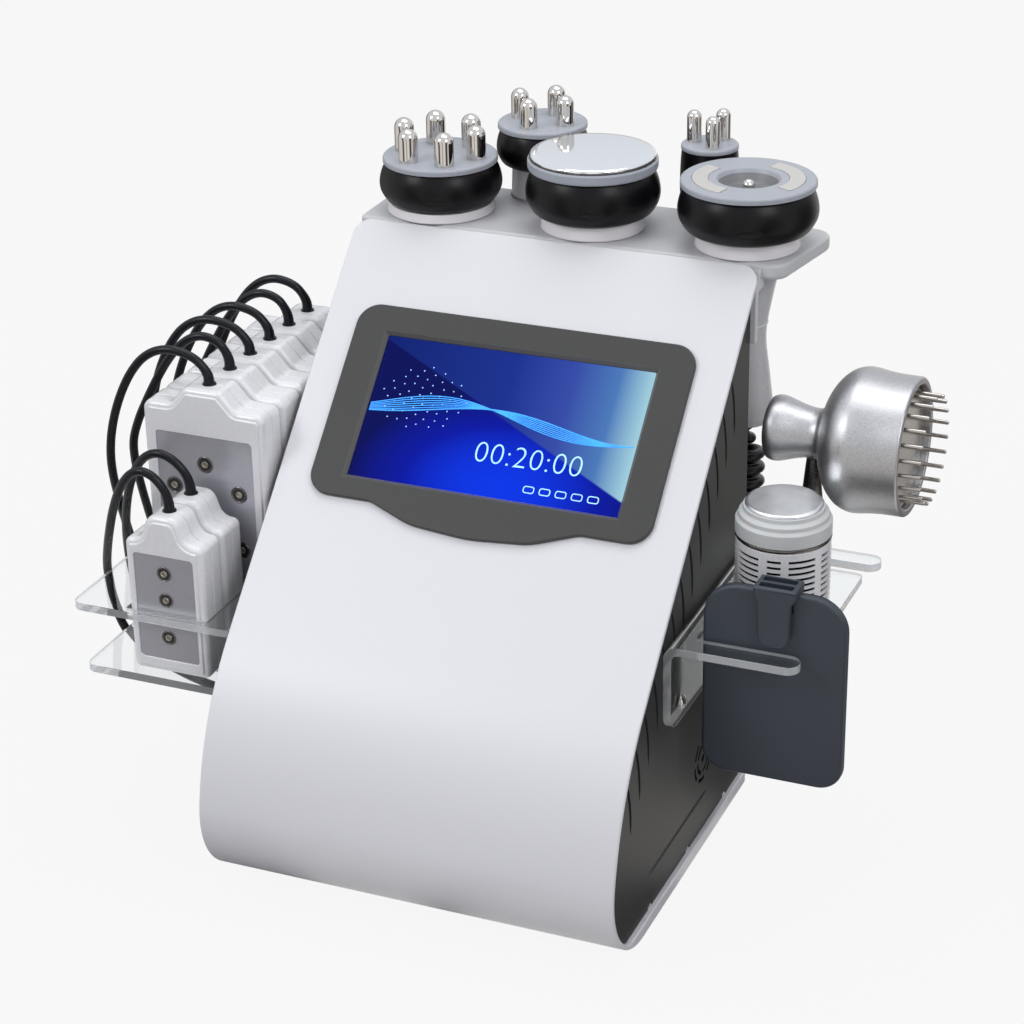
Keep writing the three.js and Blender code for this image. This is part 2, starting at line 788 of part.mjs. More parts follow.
function makeRearCover() {
  const half = panelFace - panelThickness - clearance;
  const [y0, y1] = [rearY - coverThickness, rearY];
  const plate = box(-half, half, y0, y1, floorZ + clearance, slopeZ(y0, shellWall + clearance));
  const tools = [];
  for (const ring of [2, 4, 6])
    for (let i = 0; i < fanSlotParts; i++) {
      const start = (fullTurn * (i + 1 / 2)) / fanSlotParts;
      const end = start + fullTurn / fanSlotParts - fanGapAngle;
      const arc = sector(fanZ, fanX, ring * fanSlot, (ring + 1) * fanSlot, start, end, 3);
      tools.push(prism(arc, y0 - overrun, y1 + overrun, "Y"));
    }
  tools.push(
    box(
      inletX - inletWidth / 2 + inletFlange,
      inletX + inletWidth / 2 - inletFlange,
      y0 - overrun,
      y1 + overrun,
      inletZ - inletHeight / 2 + inletFlange,
      inletZ + inletHeight / 2 - inletFlange,
    ),
  );
  const sockets = [];
  for (let i = 0; i < socketCount; i++) {
    const x = (i - (socketCount - 1) / 2) * socketPitch + socketRowX;
    const barrel = bar(socketRadius, socketLength, "Y", x, y1 + socketLength / 2, socketZ, pinSides);
    const mouth = bar(
      socketRadius - socketDepth,
      2 * socketDepth,
      "Y",
      x,
      y1 + socketLength,
      socketZ,
      pinSides,
    );
    sockets.push(cut(barrel, [mouth]));
  }
  const glandY = y1 + glandLength / 2;
  const gland = bar(glandRadius, glandLength, "Y", heads.vacuum.x, glandY, cordEndZ, handleSides);
  add("rear_cover", join(cut(plate, tools), ...sockets, gland), darkGrey);
}

function makeScreen() {
  const group = new THREE.Group();
  group.applyMatrix4(slopeFrame);
  rigid.add(group);
  const half = bezelWidth / 2;
  const lip = (share, depthShare) => [
    share * lipHalfWidth,
    -bezelBottom - depthShare * lipDepth,
    lipHalfWidth * lipCornerShare,
  ];
  const frame = outline(
    [
      [-half, -bezelTop, bezelCorner],
      [-half, -bezelBottom, bezelCorner],
      lip(-1, 0),
      lip(-0.55, 1),
      lip(0.55, 1),
      lip(1, 0),
      [half, -bezelBottom, bezelCorner],
      [half, -bezelTop, bezelCorner],
    ],
  );
  const opening = [openingWidth / 2, openingTop, openingBottom];
  const hole = (grow) =>
    rectangle(-opening[0] - grow, -opening[2] - grow, opening[0] + grow, -opening[1] + grow);
  const bevelled = prism(frame, clearance, bezelRise, "Z", openingBevel / 2);
  const well = prism(hole(0), -overrun, bezelRise + overrun);
  const flare = flared(hole(0), hole(openingBevel), bezelRise - openingBevel, bezelRise + clearance);
  const button = bar(
    buttonRadius,
    2 * openingBevel,
    "Z",
    half - bezelCorner,
    -(opening[1] + opening[2]) / 2,
    bezelRise,
    handleSides,
  );
  add("screen_bezel", cut(bevelled, [well, flare, button]), bezelGrey, group);

  const glass = rectangle(
    -opening[0] + clearance,
    -opening[2] + clearance,
    opening[0] - clearance,
    -opening[1] - clearance,
  );
  const back = rectangle(
    -opening[0] - displayFlange,
    -opening[2] - displayFlange,
    opening[0] + displayFlange,
    -opening[1] + displayFlange,
  );
  const seam = -shellWall - clearance;
  add(
    "display_module",
    join(prism(glass, seam - overrun, glassRise), prism(back, -displayDepth, seam)),
    screenBlue,
    group,
  );
}

// Solid between two outlines with the same number of points at two heights.
function flared(lower, upper, z0, z1) {
  const count = lower.length;
  const positions = [];
  for (const point of lower) positions.push(point.x, point.y, z0);
  for (const point of upper) positions.push(point.x, point.y, z1);
  const index = [];
  for (let i = 0; i < count; i++) {
    const next = (i + 1) % count;
    index.push(i, next, count + i, next, count + next, count + i);
  }
  for (let i = 1; i < count - 1; i++) index.push(0, i + 1, i, count, count + i, count + i + 1);
  const geometry = new THREE.BufferGeometry();
  geometry.setAttribute("position", new THREE.Float32BufferAttribute(positions, 3));
  geometry.setIndex(index);
  return geometry;
}

// How much narrower a seat's hole is than its well.
function ledgeWidth(seatRadius) {
  return Math.min(seatLedge, seatRadius * seatLedgeShare);
}

// Sizes of a head on this shell.
function fitted(sizes) {
  return Object.fromEntries(Object.entries(sizes).map(([name, size]) => [name, size * headShare]));
}

function fittedEach(table) {
  return Object.fromEntries(Object.entries(table).map(([name, sizes]) => [name, fitted(sizes)]));
}

function headY(name) {
  return trayFrontY + heads[name].setback;
}

// Seat in the tray: a round well on a narrower hole. An open seat runs out to the rear.
function seatTools(name, open) {
  const { x, seatRadius } = heads[name];
  const y = headY(name);
  const hole = (radius, z0) => {
    const shapes = [prism(circle(x, y, radius, roundSides), z0, trayTop + overrun)];
    if (open) shapes.push(box(x - radius, x + radius, y, trayRearY + overrun, z0, trayTop + overrun));
    return shapes;
  };
  return [
    ...hole(seatRadius + clearance, trayTop - seatDepth),
    ...hole(seatRadius - ledgeWidth(seatRadius), trayTop - trayThickness - overrun),
  ];
}

function makeTray() {
  const shoulderX = shellWidth / 2 - trayShoulder;
  const sideRearY = trayRearY - trayCornerDepth;
  const plan = outline(
    [
      [trayLeft, trayFrontY, trayCorner / 3],
      [trayRightFront, trayFrontY, trayCorner],
      [trayRightFront + trayFlare, sideRearY, trayCorner],
      [shoulderX, trayRearY, 3 * trayCorner],
      [-shoulderX, trayRearY, 3 * trayCorner],
      [trayLeft, sideRearY, trayCorner / 2],
    ],
    fineCornerStep,
  );
  const top = prism(plan, trayTop - trayThickness, trayTop, "Z", trayEdge);
  const tools = [
    ...["six_pin", "cavitation", "vacuum"].flatMap((name) => seatTools(name, false)),
    ...["four_pin", "three_pin"].flatMap((name) => seatTools(name, true)),
  ];
  const [x0, x1] = [-panelFace, shellWidth / 2];
  const bottom = trayTop - trayThickness;
  const flangeY = rearY + clearance;
  const flangeTop = slopeZ(flangeY, shellWall) - clearance;
  const riserY = trayFrontY + flangeThickness;
  const shelfZ = bottom - flangeThickness;
  const flange = box(x0, x1, flangeY, flangeY + flangeThickness, bottom - flangeHeight, flangeTop);
  const shelf = box(x0, x1, flangeY, riserY, shelfZ, flangeTop);
  const riser = box(x0, x1, trayFrontY + clearance, riserY, shelfZ, bottom + trayEdge);
  add("top_tray", cut(join(top, flange, shelf, riser), tools), lightGrey);
}

// Hand-held heads
const bowlShares = [[0, 0], [0.8, 0], [0.94, 0.18], [1, 0.46], [0.97, 0.74], [0.885, 1]];
const barrelShares = [[0, 0], [0.9, 0], [1, 0.12], [1, 0.5], [0.975, 0.8], [0.95, 1]];

function headGroup(name) {
  const group = new THREE.Group();
  group.position.set(heads[name].x, headY(name), trayTop);
  rigid.add(group);
  return group;
}

function makeHandle(name, group, sizes) {
  const { seatRadius, ringRadius, ringHeight } = heads[name];
  const neck = Math.min(sizes.topRadius, seatRadius - ledgeWidth(seatRadius) - clearance);
  const ledgeZ = -seatDepth + clearance;
  const bottom = -trayThickness - handleLength;
  const { topRadius, waistRadius, footRadius } = sizes;
  const rise = (share) => bottom + handleLength * share;
  add(
    name + "_handle",
    revolved([
      [0, bottom],
      [footRadius, bottom],
      [(footRadius + waistRadius) / 2, rise(0.3)],
      [waistRadius, rise(0.55)],
      [(waistRadius + topRadius) / 2, rise(0.8)],
      [topRadius, rise(0.97)],
      [neck, -trayThickness],
      [neck, ledgeZ],
      [seatRadius - clearance, ledgeZ],
      [seatRadius - clearance, clearance],
      [ringRadius, clearance],
      [ringRadius, ringHeight],
      [0, ringHeight],
    ], handleSides),
    white,
    group,
  );
}

function bowlGeometry(name, shares, recess = []) {
  const { ringHeight, bowlRadius, bowlHeight } = heads[name];
  const bottom = ringHeight + clearance;
  const profile = shared(shares, bowlRadius, bowlHeight - bottom, bottom);
  return revolved([...profile, ...recess.map(([r, depth]) => [r, bowlHeight - depth])]);
}

function makeBowl(name, group, shares, recess, dimpleCount) {
  const { ringHeight, bowlRadius, bowlHeight } = heads[name];
  const middle = ringHeight + (bowlHeight - ringHeight) * dimpleHeightShare;
  const dimples = Array.from({ length: dimpleCount }, (unused, i) => {
    const angle = (fullTurn * i) / dimpleCount + dimpleTurn;
    const dimple = new THREE.SphereGeometry(1, 6, 4);
    dimple.scale(dimpleDepth * 2, dimpleLength, dimpleHeight);
    dimple.translate(bowlRadius + dimpleDepth / 2, 0, middle);
    return dimple.rotateZ(THREE.MathUtils.degToRad(angle));
  });
  add(name + "_bowl", cut(bowlGeometry(name, shares, recess), dimples), rubber, group);
}

function pinPlaces(name) {
  const [count, turn] = [pinCounts[name], pinTurns[name]];
  return arcPoints(0, 0, pinSets[name].circleRadius, turn, turn + fullTurn - fullTurn / count, count - 1);
}

function makePinHead(name, handle, shares, dimples) {
  const group = headGroup(name);
  const { bowlHeight, faceRadius, faceHeight } = heads[name];
  const { circleRadius, pinRadius, pinHeight } = pinSets[name];
  const carrierRadius = circleRadius + pinRadius + clearance;
  makeHandle(name, group, handle);
  makeBowl(name, group, shares, [
    [carrierRadius + clearance, 0],
    [carrierRadius + clearance, carrierThickness + clearance],
    [0, carrierThickness + clearance],
  ], dimples);
  const faceBottom = bowlHeight + clearance;
  const edge = (faceHeight - faceBottom) / 3;
  const plate = revolved([
    [0, faceBottom],
    [faceRadius, faceBottom],
    [faceRadius, faceHeight - edge],
    [faceRadius - edge, faceHeight],
    [0, faceHeight],
  ]);
  const holes = pinPlaces(name).map(({ x, y }) =>
    bar(pinRadius + clearance, 2 * (faceHeight - faceBottom) + overrun, "Z", x, y, faceHeight, pinSides),
  );
  add(name + "_face", cut(plate, holes), frosted, group);

  const carrier = revolved([
    [0, bowlHeight - carrierThickness],
    [carrierRadius, bowlHeight - carrierThickness],
    [carrierRadius, bowlHeight],
    [0, bowlHeight],
  ]);
  const tip = faceHeight + pinHeight;
  const pin = (x, y) =>
    revolved([
      [0, bowlHeight - carrierThickness / 2],
      [pinRadius, bowlHeight - carrierThickness / 2],
      [pinRadius, tip - pinRadius],
      [pinRadius * 0.72, tip - pinRadius * 0.3],
      [0, tip],
    ], pinSides).translate(x, y, 0);
  add(name + "_electrodes", join(carrier, ...pinPlaces(name).map(({ x, y }) => pin(x, y))), steel, group);
}

function makeCavitationHead() {
  const name = "cavitation";
  const group = headGroup(name);
  const { bowlHeight, faceRadius, faceHeight } = heads[name];
  makeHandle(name, group, handles.large);
  makeBowl(name, group, bowlShares, [
    [disc.studRadius + clearance, 0],
    [disc.studRadius + clearance, seatDepth + clearance],
    [0, seatDepth + clearance],
  ], thumbDimples);
  const collarBottom = bowlHeight + clearance;
  const studHole = disc.studRadius + clearance;
  add(
    name + "_collar",
    revolved([
      [studHole, collarBottom],
      [faceRadius - clearance * 2, collarBottom],
      [faceRadius, collarBottom + clearance * 3],
      [faceRadius, faceHeight - clearance * 4],
      [faceRadius - clearance * 2, faceHeight],
      [studHole, faceHeight],
      [studHole, collarBottom],
    ]),
    frosted,
    group,
  );
  const plateBottom = faceHeight + clearance;
  add(
    name + "_disc",
    revolved([
      [0, bowlHeight - seatDepth],
      [disc.studRadius, bowlHeight - seatDepth],
      [disc.studRadius, plateBottom],
      [disc.discRadius, plateBottom],
      [disc.discRadius, plateBottom + disc.discThickness * 0.6],
      [disc.discRadius - disc.discThickness * 0.4, plateBottom + disc.discThickness],
      [0, plateBottom + disc.discThickness],
    ]),
    steel,
    group,
  );
}

function makeVacuumHead() {
  const name = "vacuum";
  const group = headGroup(name);
  const { bowlHeight, faceRadius, faceHeight } = heads[name];
  makeHandle(name, group, handles.large);
  const well = cup.cupRadius + cup.cupWall + clearance;
  const track = crescentRing.outerRadius + 4 * clearance;
  makeBowl(name, group, bowlShares, [
    [track, 0],
    [track, carrierThickness + clearance],
    [well, carrierThickness + clearance],
    [well, cup.cupDepth + cup.cupWall],
    [0, cup.cupDepth + cup.cupWall],
  ], thumbDimples);
  const bottom = bowlHeight + clearance;
  const cupBottom = faceHeight - cup.cupDepth;
  const plate = revolved([
    [0, cupBottom - cup.cupWall],
    [cup.cupRadius + cup.cupWall, cupBottom - cup.cupWall],
    [cup.cupRadius + cup.cupWall, bottom],
    [faceRadius, bottom],
    [faceRadius, faceHeight - cup.cupWall / 2],
    [faceRadius - cup.cupWall / 2, faceHeight],
    [cup.cupRadius, faceHeight],
    [cup.cupRadius * 0.8, cupBottom],
    [0, cupBottom],
  ]);
  const crescent = (z0, z1, grow, turn) => {
    const spread = crescentHalfAngle + THREE.MathUtils.radToDeg(grow / crescentRing.innerRadius);
    const { innerRadius, outerRadius } = crescentRing;
    const blade = sector(0, 0, innerRadius - grow, outerRadius + grow, turn - spread, turn + spread, 4);
    return prism(blade, z0, z1);
  };
  const slots = crescentTurns.map((turn) =>
    crescent(bottom - overrun, faceHeight + overrun, clearance, turn),
  );
  const ballZ = cupBottom + cup.ballRadius * 0.9;
  const ball = new THREE.SphereGeometry(cup.ballRadius, 8, 6).translate(0, 0, ballZ);
  add(name + "_face", join(cut(plate, slots), ball), frosted, group);

  const ringTop = bowlHeight;
  const ring = revolved([
    [crescentRing.innerRadius, ringTop - carrierThickness],
    [crescentRing.outerRadius, ringTop - carrierThickness],
    [crescentRing.outerRadius, ringTop],
    [crescentRing.innerRadius, ringTop],
    [crescentRing.innerRadius, ringTop - carrierThickness],
  ]);
  const pads = crescentTurns.map((turn) =>
    crescent(ringTop - clearance, faceHeight + crescentRise, 0, turn),
  );
  add(name + "_electrodes", join(ring, ...pads), satin, group);
}

// Acrylic rack: an upright plate on the panel, an upper level that the pads pass through and a shelf.
function makeRack() {
  const plateX = -plateOuter;
  const plateFrontY = rackFrontY + rackPlateInset;
  const places = padPlaces();
  const level = (left, topZ, holes) =>
    prism(
      outline([
        [left, rackFrontY, rackCorner],
        [plateX + sheetThickness / 4, rackFrontY],
        [plateX + sheetThickness / 4, rackRearY],
        [left, rackRearY, rackCorner],
      ]),
      topZ - sheetThickness,
      topZ,
      "Z",
      0,
      holes,
    );
  const opening = (group) => {
    const half = group[0].size.width / 2 + rackPlay;
    const reach = padThickness / 2 + rackPlay;
    return rectangle(
      padCentreX - half,
      group[0].y - reach,
      Math.min(padCentreX + half, plateX - clearance),
      group[group.length - 1].y + reach,
    );
  };
  const plate = box(plateX, -plateFace, plateFrontY, rackRearY, rackLowerZ - sheetThickness, rackUpperZ);
  const upper = level(largeLeft - rackUpperMargin, rackUpperZ, [
    opening(places.slice(0, smallCount)),
    opening(places.slice(smallCount)),
  ]);
  const screws = [1, 3].map((step) => {
    const y = plateFrontY + step * 2 * screwRadius;
    const z = (rackUpperZ + rackLowerZ) / 2;
    return bar(screwRadius, screwHead + clearance, "X", plateX - screwHead / 2, y, z);
  });
  const lower = level(largeLeft - rackLowerMargin, rackLowerZ, []);
  add("pad_rack", join(plate, upper, lower, ...screws), acrylic);
}

// A light pad's case, standing on the shelf: shouldered outline, window plate and diodes on its front.
function padGeometry(size) {
  const half = size.width / 2;
  const [inner, outer] = [size.neckWidth / 2, size.stepWidth / 2];
  const bend = (size.neck - size.shoulder) / 2;
  const front = [
    [0, -half, size.corner],
    [size.shoulder, -half, size.corner],
    [size.shoulder, -outer, bend],
    [size.neck, -inner, bend],
    [size.neck, inner, bend],
    [size.shoulder, outer, bend],
    [size.shoulder, half, size.corner],
    [0, half, size.corner],
  ];
  const body = prism(outline(front, 2 * cornerStep), -padThickness / 2, padThickness / 2, "Y");
  const margin = size.width * plateMarginShare;
  const [z0, z1] = [margin, size.shoulder - margin];
  const face = -padThickness / 2;
  const plate = box(-half + margin, half - margin, face - overrun, face + plateDepth, z0, z1);
  const diodeY = face + plateDepth - diodeRise / 2 + clearance;
  const diodes = size.diodeShares.map(([across, up]) =>
    bar(diodeRadius, diodeRise, "Y", across * half, diodeY, z0 + (z1 - z0) * up, diodeSides),
  );
  return join(cut(body, [plate]), ...diodes);
}

function makePads() {
  for (const { name, size, y } of padPlaces()) {
    const pad = add(name, padGeometry(size), white);
    pad.position.set(padCentreX, y, rackLowerZ + clearance);
  }
}

// Tool holder: an upright plate on the right panel and a shelf with two fingers.
function makeHolder() {
  const paddleY0 = paddleSlotY;
  const paddleY1 = paddleY0 + paddleSlot;
  const stemY1 = holderRearY - fingerWidth;
  const stemY0 = stemY1 - stemSlot;
  const tip = fingerWidth / 2 - clearance;
  const slotEnd = Math.min(paddleSlot, stemSlot) / 3;
  const root = plateOuter - sheetThickness / 2;
  const [frontX, rearX] = [plateOuter + fingerLength, plateOuter + rearFingerLength];
  const mainX = coolX + holderHoleRadius + holderEnd;
  const paddleX = paddleLeft - paddleSlotLead;
  const stemSlotX = stemX - stemSlotLead;
  const shelf = outline([
    [root, holderFrontY],
    [frontX, holderFrontY, tip],
    [frontX, paddleY0, tip],
    [paddleX, paddleY0, slotEnd],
    [paddleX, paddleY1, slotEnd],
    [mainX, paddleY1, slotEnd],
    [mainX, stemY0, slotEnd],
    [stemSlotX, stemY0, slotEnd],
    [stemSlotX, stemY1, slotEnd],
    [rearX, stemY1, tip],
    [rearX, holderRearY, tip],
    [root, holderRearY],
  ]);
  const hole = circle(coolX, coolY, holderHoleRadius, roundSides);
  const top = prism(shelf, holderTopZ - sheetThickness, holderTopZ, "Z", 0, [hole]);
  const plate = prism(
    outline([
      [holderFrontY, holderBottomZ, holderCorner],
      [holderRearY - fingerWidth, holderBottomZ, holderCorner],
      [holderRearY, holderTopZ],
      [holderFrontY, holderTopZ],
    ]),
    plateFace,
    plateOuter,
    "X",
  );
  const screws = holderScrewShares.map((share) => {
    const y = holderFrontY + (holderRearY - holderFrontY) * share;
    const z = holderBottomZ + holderCorner;
    return bar(screwRadius, screwHead + clearance, "X", plateOuter + screwHead / 2, y, z);
  });
  add("tool_holder", join(plate, top, ...screws), acrylic);
}

function makeCoolingHead() {
  const group = new THREE.Group();
  group.position.set(coolX, coolY, 0);
  rigid.add(group);
  const seatZ = holderTopZ + clearance;
  const bandTop = coolTop - coolDiscRise - coolCollarHeight;
  const caseTop = bandTop - coolBandHeight - clearance;
  const bottom = seatZ - coolHandleLength;
  const recess = coolBandHeight;
  const body = revolved([
    [0, bottom],
    [coolHandleRadius * 0.86, bottom],
    [coolHandleRadius * 0.95, bottom + coolHandleLength * 0.04],
    [coolHandleRadius, bottom + coolHandleLength * 0.2],
    [coolHandleRadius, seatZ],
    [coolRadius, seatZ],
    [coolRadius, caseTop],
    [0, caseTop],
  ]);
  const slots = [];
  const addSlots = (middle, angle) => {
    const [inner, outer] = [coolRadius - slotDepth, coolRadius + overrun];
    const opening = sector(0, 0, inner, outer, middle - angle / 2, middle + angle / 2, 1);
    for (let row = 0; row < slotRows; row++) {
      const z = caseTop - slotTopGap - row * slotPitch;
      slots.push(prism(opening, z - slotHeight, z));
    }
  };
  for (let column = 0; column < slotColumns; column++) {
    const turn = slotTurn + (fullTurn * column) / slotColumns;
    addSlots(turn, wideSlotAngle);
    addSlots(turn + narrowSlotTurn, narrowSlotAngle);
  }
  add("cooling_body", cut(body, slots), white, group);

  const collarBottom = bandTop + clearance;
  const step = coolCollarHeight / 6;
  const bore = coolSpindleRadius + clearance;
  const rim = coolRadius * 1.01;
  add(
    "cooling_collar",
    revolved([
      [bore, collarBottom],
      [rim, collarBottom],
      [rim, collarBottom + 3 * step],
      [rim - step * 0.7, collarBottom + 3.6 * step],
      [rim - step * 0.7, collarBottom + 4.4 * step],
      [rim - step * 1.6, collarBottom + 5 * step],
      [rim - step * 1.6, coolTop - coolDiscRise - clearance],
      [bore, coolTop - coolDiscRise - clearance],
      [bore, collarBottom],
    ]),
    frosted,
    group,
  );
  add(
    "cooling_disc",
    revolved([
      [0, bandTop - recess],
      [coolRadius, bandTop - recess],
      [coolRadius, bandTop],
      [coolSpindleRadius, bandTop],
      [coolSpindleRadius, coolTop - coolDiscRise],
      [coolDiscRadius, coolTop - coolDiscRise],
      [coolDiscRadius, coolTop - coolDiscRise / 2],
      [coolDiscRadius * 0.96, coolTop],
      [0, coolTop],
    ]),
    steel,
    group,
  );
}

// Shares of the massager's radius and length: its knob, and its bell up to the rim.
const knobShares = [[0, 0], [0.36, 0.03], [0.456, 0.124], [0.42, 0.21]];
const bellShares = [
  [0.395, 0.415],
  [0.674, 0.466],
  [0.837, 0.506],
  [0.949, 0.556],
  [1, 0.63],
  [0.955, 0.8],
  [0.955, 0.96],
  [0.91, 1],
];

function makeMassager() {
  const group = new THREE.Group();
  group.position.set(massagerX, massagerY, massagerZ);
  group.rotation.y = Math.PI / 2;
  rigid.add(group);
  const mouthZ = massagerLength - mouthDepth;
  const neck = massagerNeck;
  const body = revolved([
    ...shared(knobShares, massagerRadius, massagerLength),
    [neckRadius, neck - neckRadius / 3],
    [neckRadius, neck + neckRadius / 3],
    ...shared(bellShares, massagerRadius, massagerLength),
    [mouthRadius, massagerLength],
    [mouthRadius - clearance, mouthZ - combDiscThickness - clearance],
    [0, mouthZ - combDiscThickness - clearance],
  ]);
  add("massager_body", body, satin, group);

  const discRadius = mouthRadius - 3 * clearance;
  const disc = revolved([
    [0, mouthZ - combDiscThickness],
    [discRadius, mouthZ - combDiscThickness],
    [discRadius, mouthZ],
    [0, mouthZ],
  ]);
  const places = arcPoints(0, 0, combRingRadius, 0, fullTurn - fullTurn / combPins, combPins - 1);
  const pins = places.map(({ x, y }) =>
    bar(combPinRadius, combPinLength, "Z", x, y, mouthZ - clearance + combPinLength / 2, combPinSides),
  );
  add("massager_comb", join(disc, ...pins), steel, group);

  const top = massagerZ - neckRadius - clearance;
  const seat = holderTopZ + clearance;
  const stem = add(
    "massager_stem",
    revolved([
      [0, seat - tangLength],
      [tangRadius - clearance, seat - tangLength],
      [tangRadius, seat - tangLength + tangRadius / 2],
      [tangRadius, seat],
      [stemFlangeRadius, seat],
      [stemFlangeRadius, seat + stemFlangeHeight / 2],
      [stemRadius, seat + stemFlangeHeight],
      [stemRadius * 0.82, (seat + top) / 2],
      [stemRadius * 0.45, top],
      [0, top],
    ], handleSides),
    satin,
  );
  stem.position.set(stemX, massagerY, 0);
}

function makePaddle() {
  const [x0, x1] = [paddleLeft, paddleLeft + paddleWidth];
  const paddleBottomZ = paddleTopZ - paddleHeight;
  const flat = prism(
    outline([
      [paddleBottomZ, x0, paddleLowCorner],
      [paddleTopZ, x0, paddleCorner],
      [paddleTopZ, x1, paddleCorner],
      [paddleBottomZ, x1, paddleLowCorner],
    ]),
    paddleFrontY,
    paddleFrontY + paddleThickness,
    "Y",
    paddleEdge,
  );
  const half = sleeveWidth / 2;
  const seat = holderTopZ + clearance;
  const sleeve = prism(
    outline([
      [seat, sleeveX - half * 0.8, half / 2],
      [sleeveTopZ, sleeveX - half],
      [sleeveTopZ, sleeveX + half],
      [seat, sleeveX + half * 0.8, half / 2],
    ]),
    sleeveFrontY,
    sleeveFrontY + sleeveDepth,
    "Y",
    paddleEdge,
  );
  const slotY = (sleeveDepth - 3 * sleeveWall) / 2;
  const slots = [0, 1].map((i) => {
    const y = sleeveFrontY + sleeveWall + i * (slotY + sleeveWall);
    const reach = half - sleeveWall;
    const bottom = sleeveTopZ - sleeveSlotDepth;
    return box(sleeveX - reach, sleeveX + reach, y, y + slotY, bottom, sleeveTopZ + overrun);
  });
  add("electrode_paddle", cut(join(flat, sleeve), slots), slate);
}

// Pieces inside the body
function makeBoard() {
  const [length, width, thickness] = boardSize;
  const z = floorZ + clearance + boardStand;
  const block = (x, w, d, z0, z1) => box(x - w / 2, x + w / 2, boardY - d / 2, boardY + d / 2, z0, z1);
  const plate = block(boardX, length, width, z, z + thickness);
  const postLength = boardStand + thickness / 2;
  const postZ = floorZ + clearance + postLength / 2;
  const pieces = [];
  for (const sx of [-1, 1])
    for (const sy of [-1, 1]) {
      const x = boardX + sx * (length / 2 - 2 * boardPostRadius);
      const y = boardY + sy * (width / 2 - 2 * boardPostRadius);
      pieces.push(bar(boardPostRadius, postLength, "Z", x, y, postZ, glandSides));
    }
  const top = z + thickness;
  for (const [share, [w, d, h]] of [[-0.28, chipSize], [0.02, chipSize], [0.3, coilSize]])
    pieces.push(block(boardX + share * length, w, d, top - thickness / 2, top + h));
  add("control_board", join(plate, ...pieces), board);
}

function makeSupply() {
  const [width, depth, height] = supplySize;
  const z0 = floorZ + clearance;
  const [half, top] = [supplyRib / 2, z0 + height];
  const block = (inset, y0, y1, low, high) =>
    box(supplyX - width / 2 + inset, supplyX + width / 2 - inset, y0, y1, low, high);
  const body = block(0, supplyY - depth / 2, supplyY + depth / 2, z0, top);
  const slots = Array.from({ length: supplySlots }, (unused, i) => {
    const y = supplyY - depth / 2 + (depth * (i + 1)) / (supplySlots + 1);
    return block(2 * supplyRib, y - half, y + half, top - half, top + overrun);
  });
  add("power_supply", cut(body, slots), satin);
}

function makePump() {
  const [w, d, h] = pumpHeadSize;
  const z0 = floorZ + clearance;
  const axisZ = z0 + pumpFootHeight + pumpRadius;
  const head = box(pumpX - w / 2, pumpX + w / 2, pumpY - d / 2, pumpY + d / 2, z0, z0 + h);
  const side = pumpX - w / 2;
  const motor = bar(pumpRadius, pumpLength, "X", side - pumpLength / 2 + overrun, pumpY, axisZ, roundSides);
  const foot = box(side - pumpLength, side + overrun, pumpY - d / 3, pumpY + d / 3, z0, axisZ);
  const barbZ = z0 + h + barbLength / 2 - clearance;
  const barbs = [-1, 1].map((hand) =>
    bar(barbRadius, barbLength, "Z", pumpX + (hand * w) / 4, pumpY, barbZ, pinSides),
  );
  add("vacuum_pump", join(head, motor, foot, ...barbs), plastic);
}

function makeFan() {
  const half = fanSize / 2;
  const y1 = rearY - coverThickness - clearance;
  const y0 = y1 - fanDepth;
  const bore = half - fanWall;
  const spider = fanWall * 1.5;
  const ring = prism(
    rectangle(fanZ - half, fanX - half, fanZ + half, fanX + half, 2 * fanWall),
    y0,
    y1,
    "Y",
    0,
    [circle(fanZ, fanX, bore, handleSides)],
  );
  const reach = bore + fanWall / 2;
  const arms = [
    box(fanX - reach, fanX + reach, y0, y0 + spider, fanZ - fanWall, fanZ + fanWall),
    box(fanX - fanWall, fanX + fanWall, y0, y0 + spider, fanZ - reach, fanZ + reach),
    bar(rotorHubRadius, spider, "Y", fanX, y0 + spider / 2, fanZ),
    bar(fanWall, fanDepth / 2, "Y", fanX, y0 + fanDepth / 4 + spider / 2, fanZ, pinSides),
  ];
  add("fan_frame", join(ring, ...arms), plastic);

  const [r0, r1] = [y0 + spider + clearance, y1 - rotorClearance];
  const shaftEnd = y0 + fanDepth / 2 + spider / 2;
  const [boreStart, boreEnd] = [r0 - overrun, shaftEnd + clearance];
  const boreLength = boreEnd - boreStart;
  const hub = cut(bar(rotorHubRadius, r1 - r0, "Y", fanX, (r0 + r1) / 2, fanZ), [
    bar(fanWall + clearance, boreLength, "Y", fanX, (boreStart + boreEnd) / 2, fanZ, pinSides),
  ]);
  const blades = Array.from({ length: rotorBlades }, (unused, i) => {
    const tip = bore - rotorClearance;
    const root = rotorHubRadius - fanWall;
    const blade = new THREE.BoxGeometry(rotorBladeThickness, (r1 - r0) * bladeDepthShare, tip - root);
    blade.rotateZ(THREE.MathUtils.degToRad(rotorBladePitch));
    blade.translate(0, (r0 + r1) / 2, (tip + root) / 2);
    blade.rotateY((2 * Math.PI * i) / rotorBlades);
    return blade.translate(fanX, 0, fanZ);
  });
  add("fan_rotor", join(hub, ...blades), plastic);
}

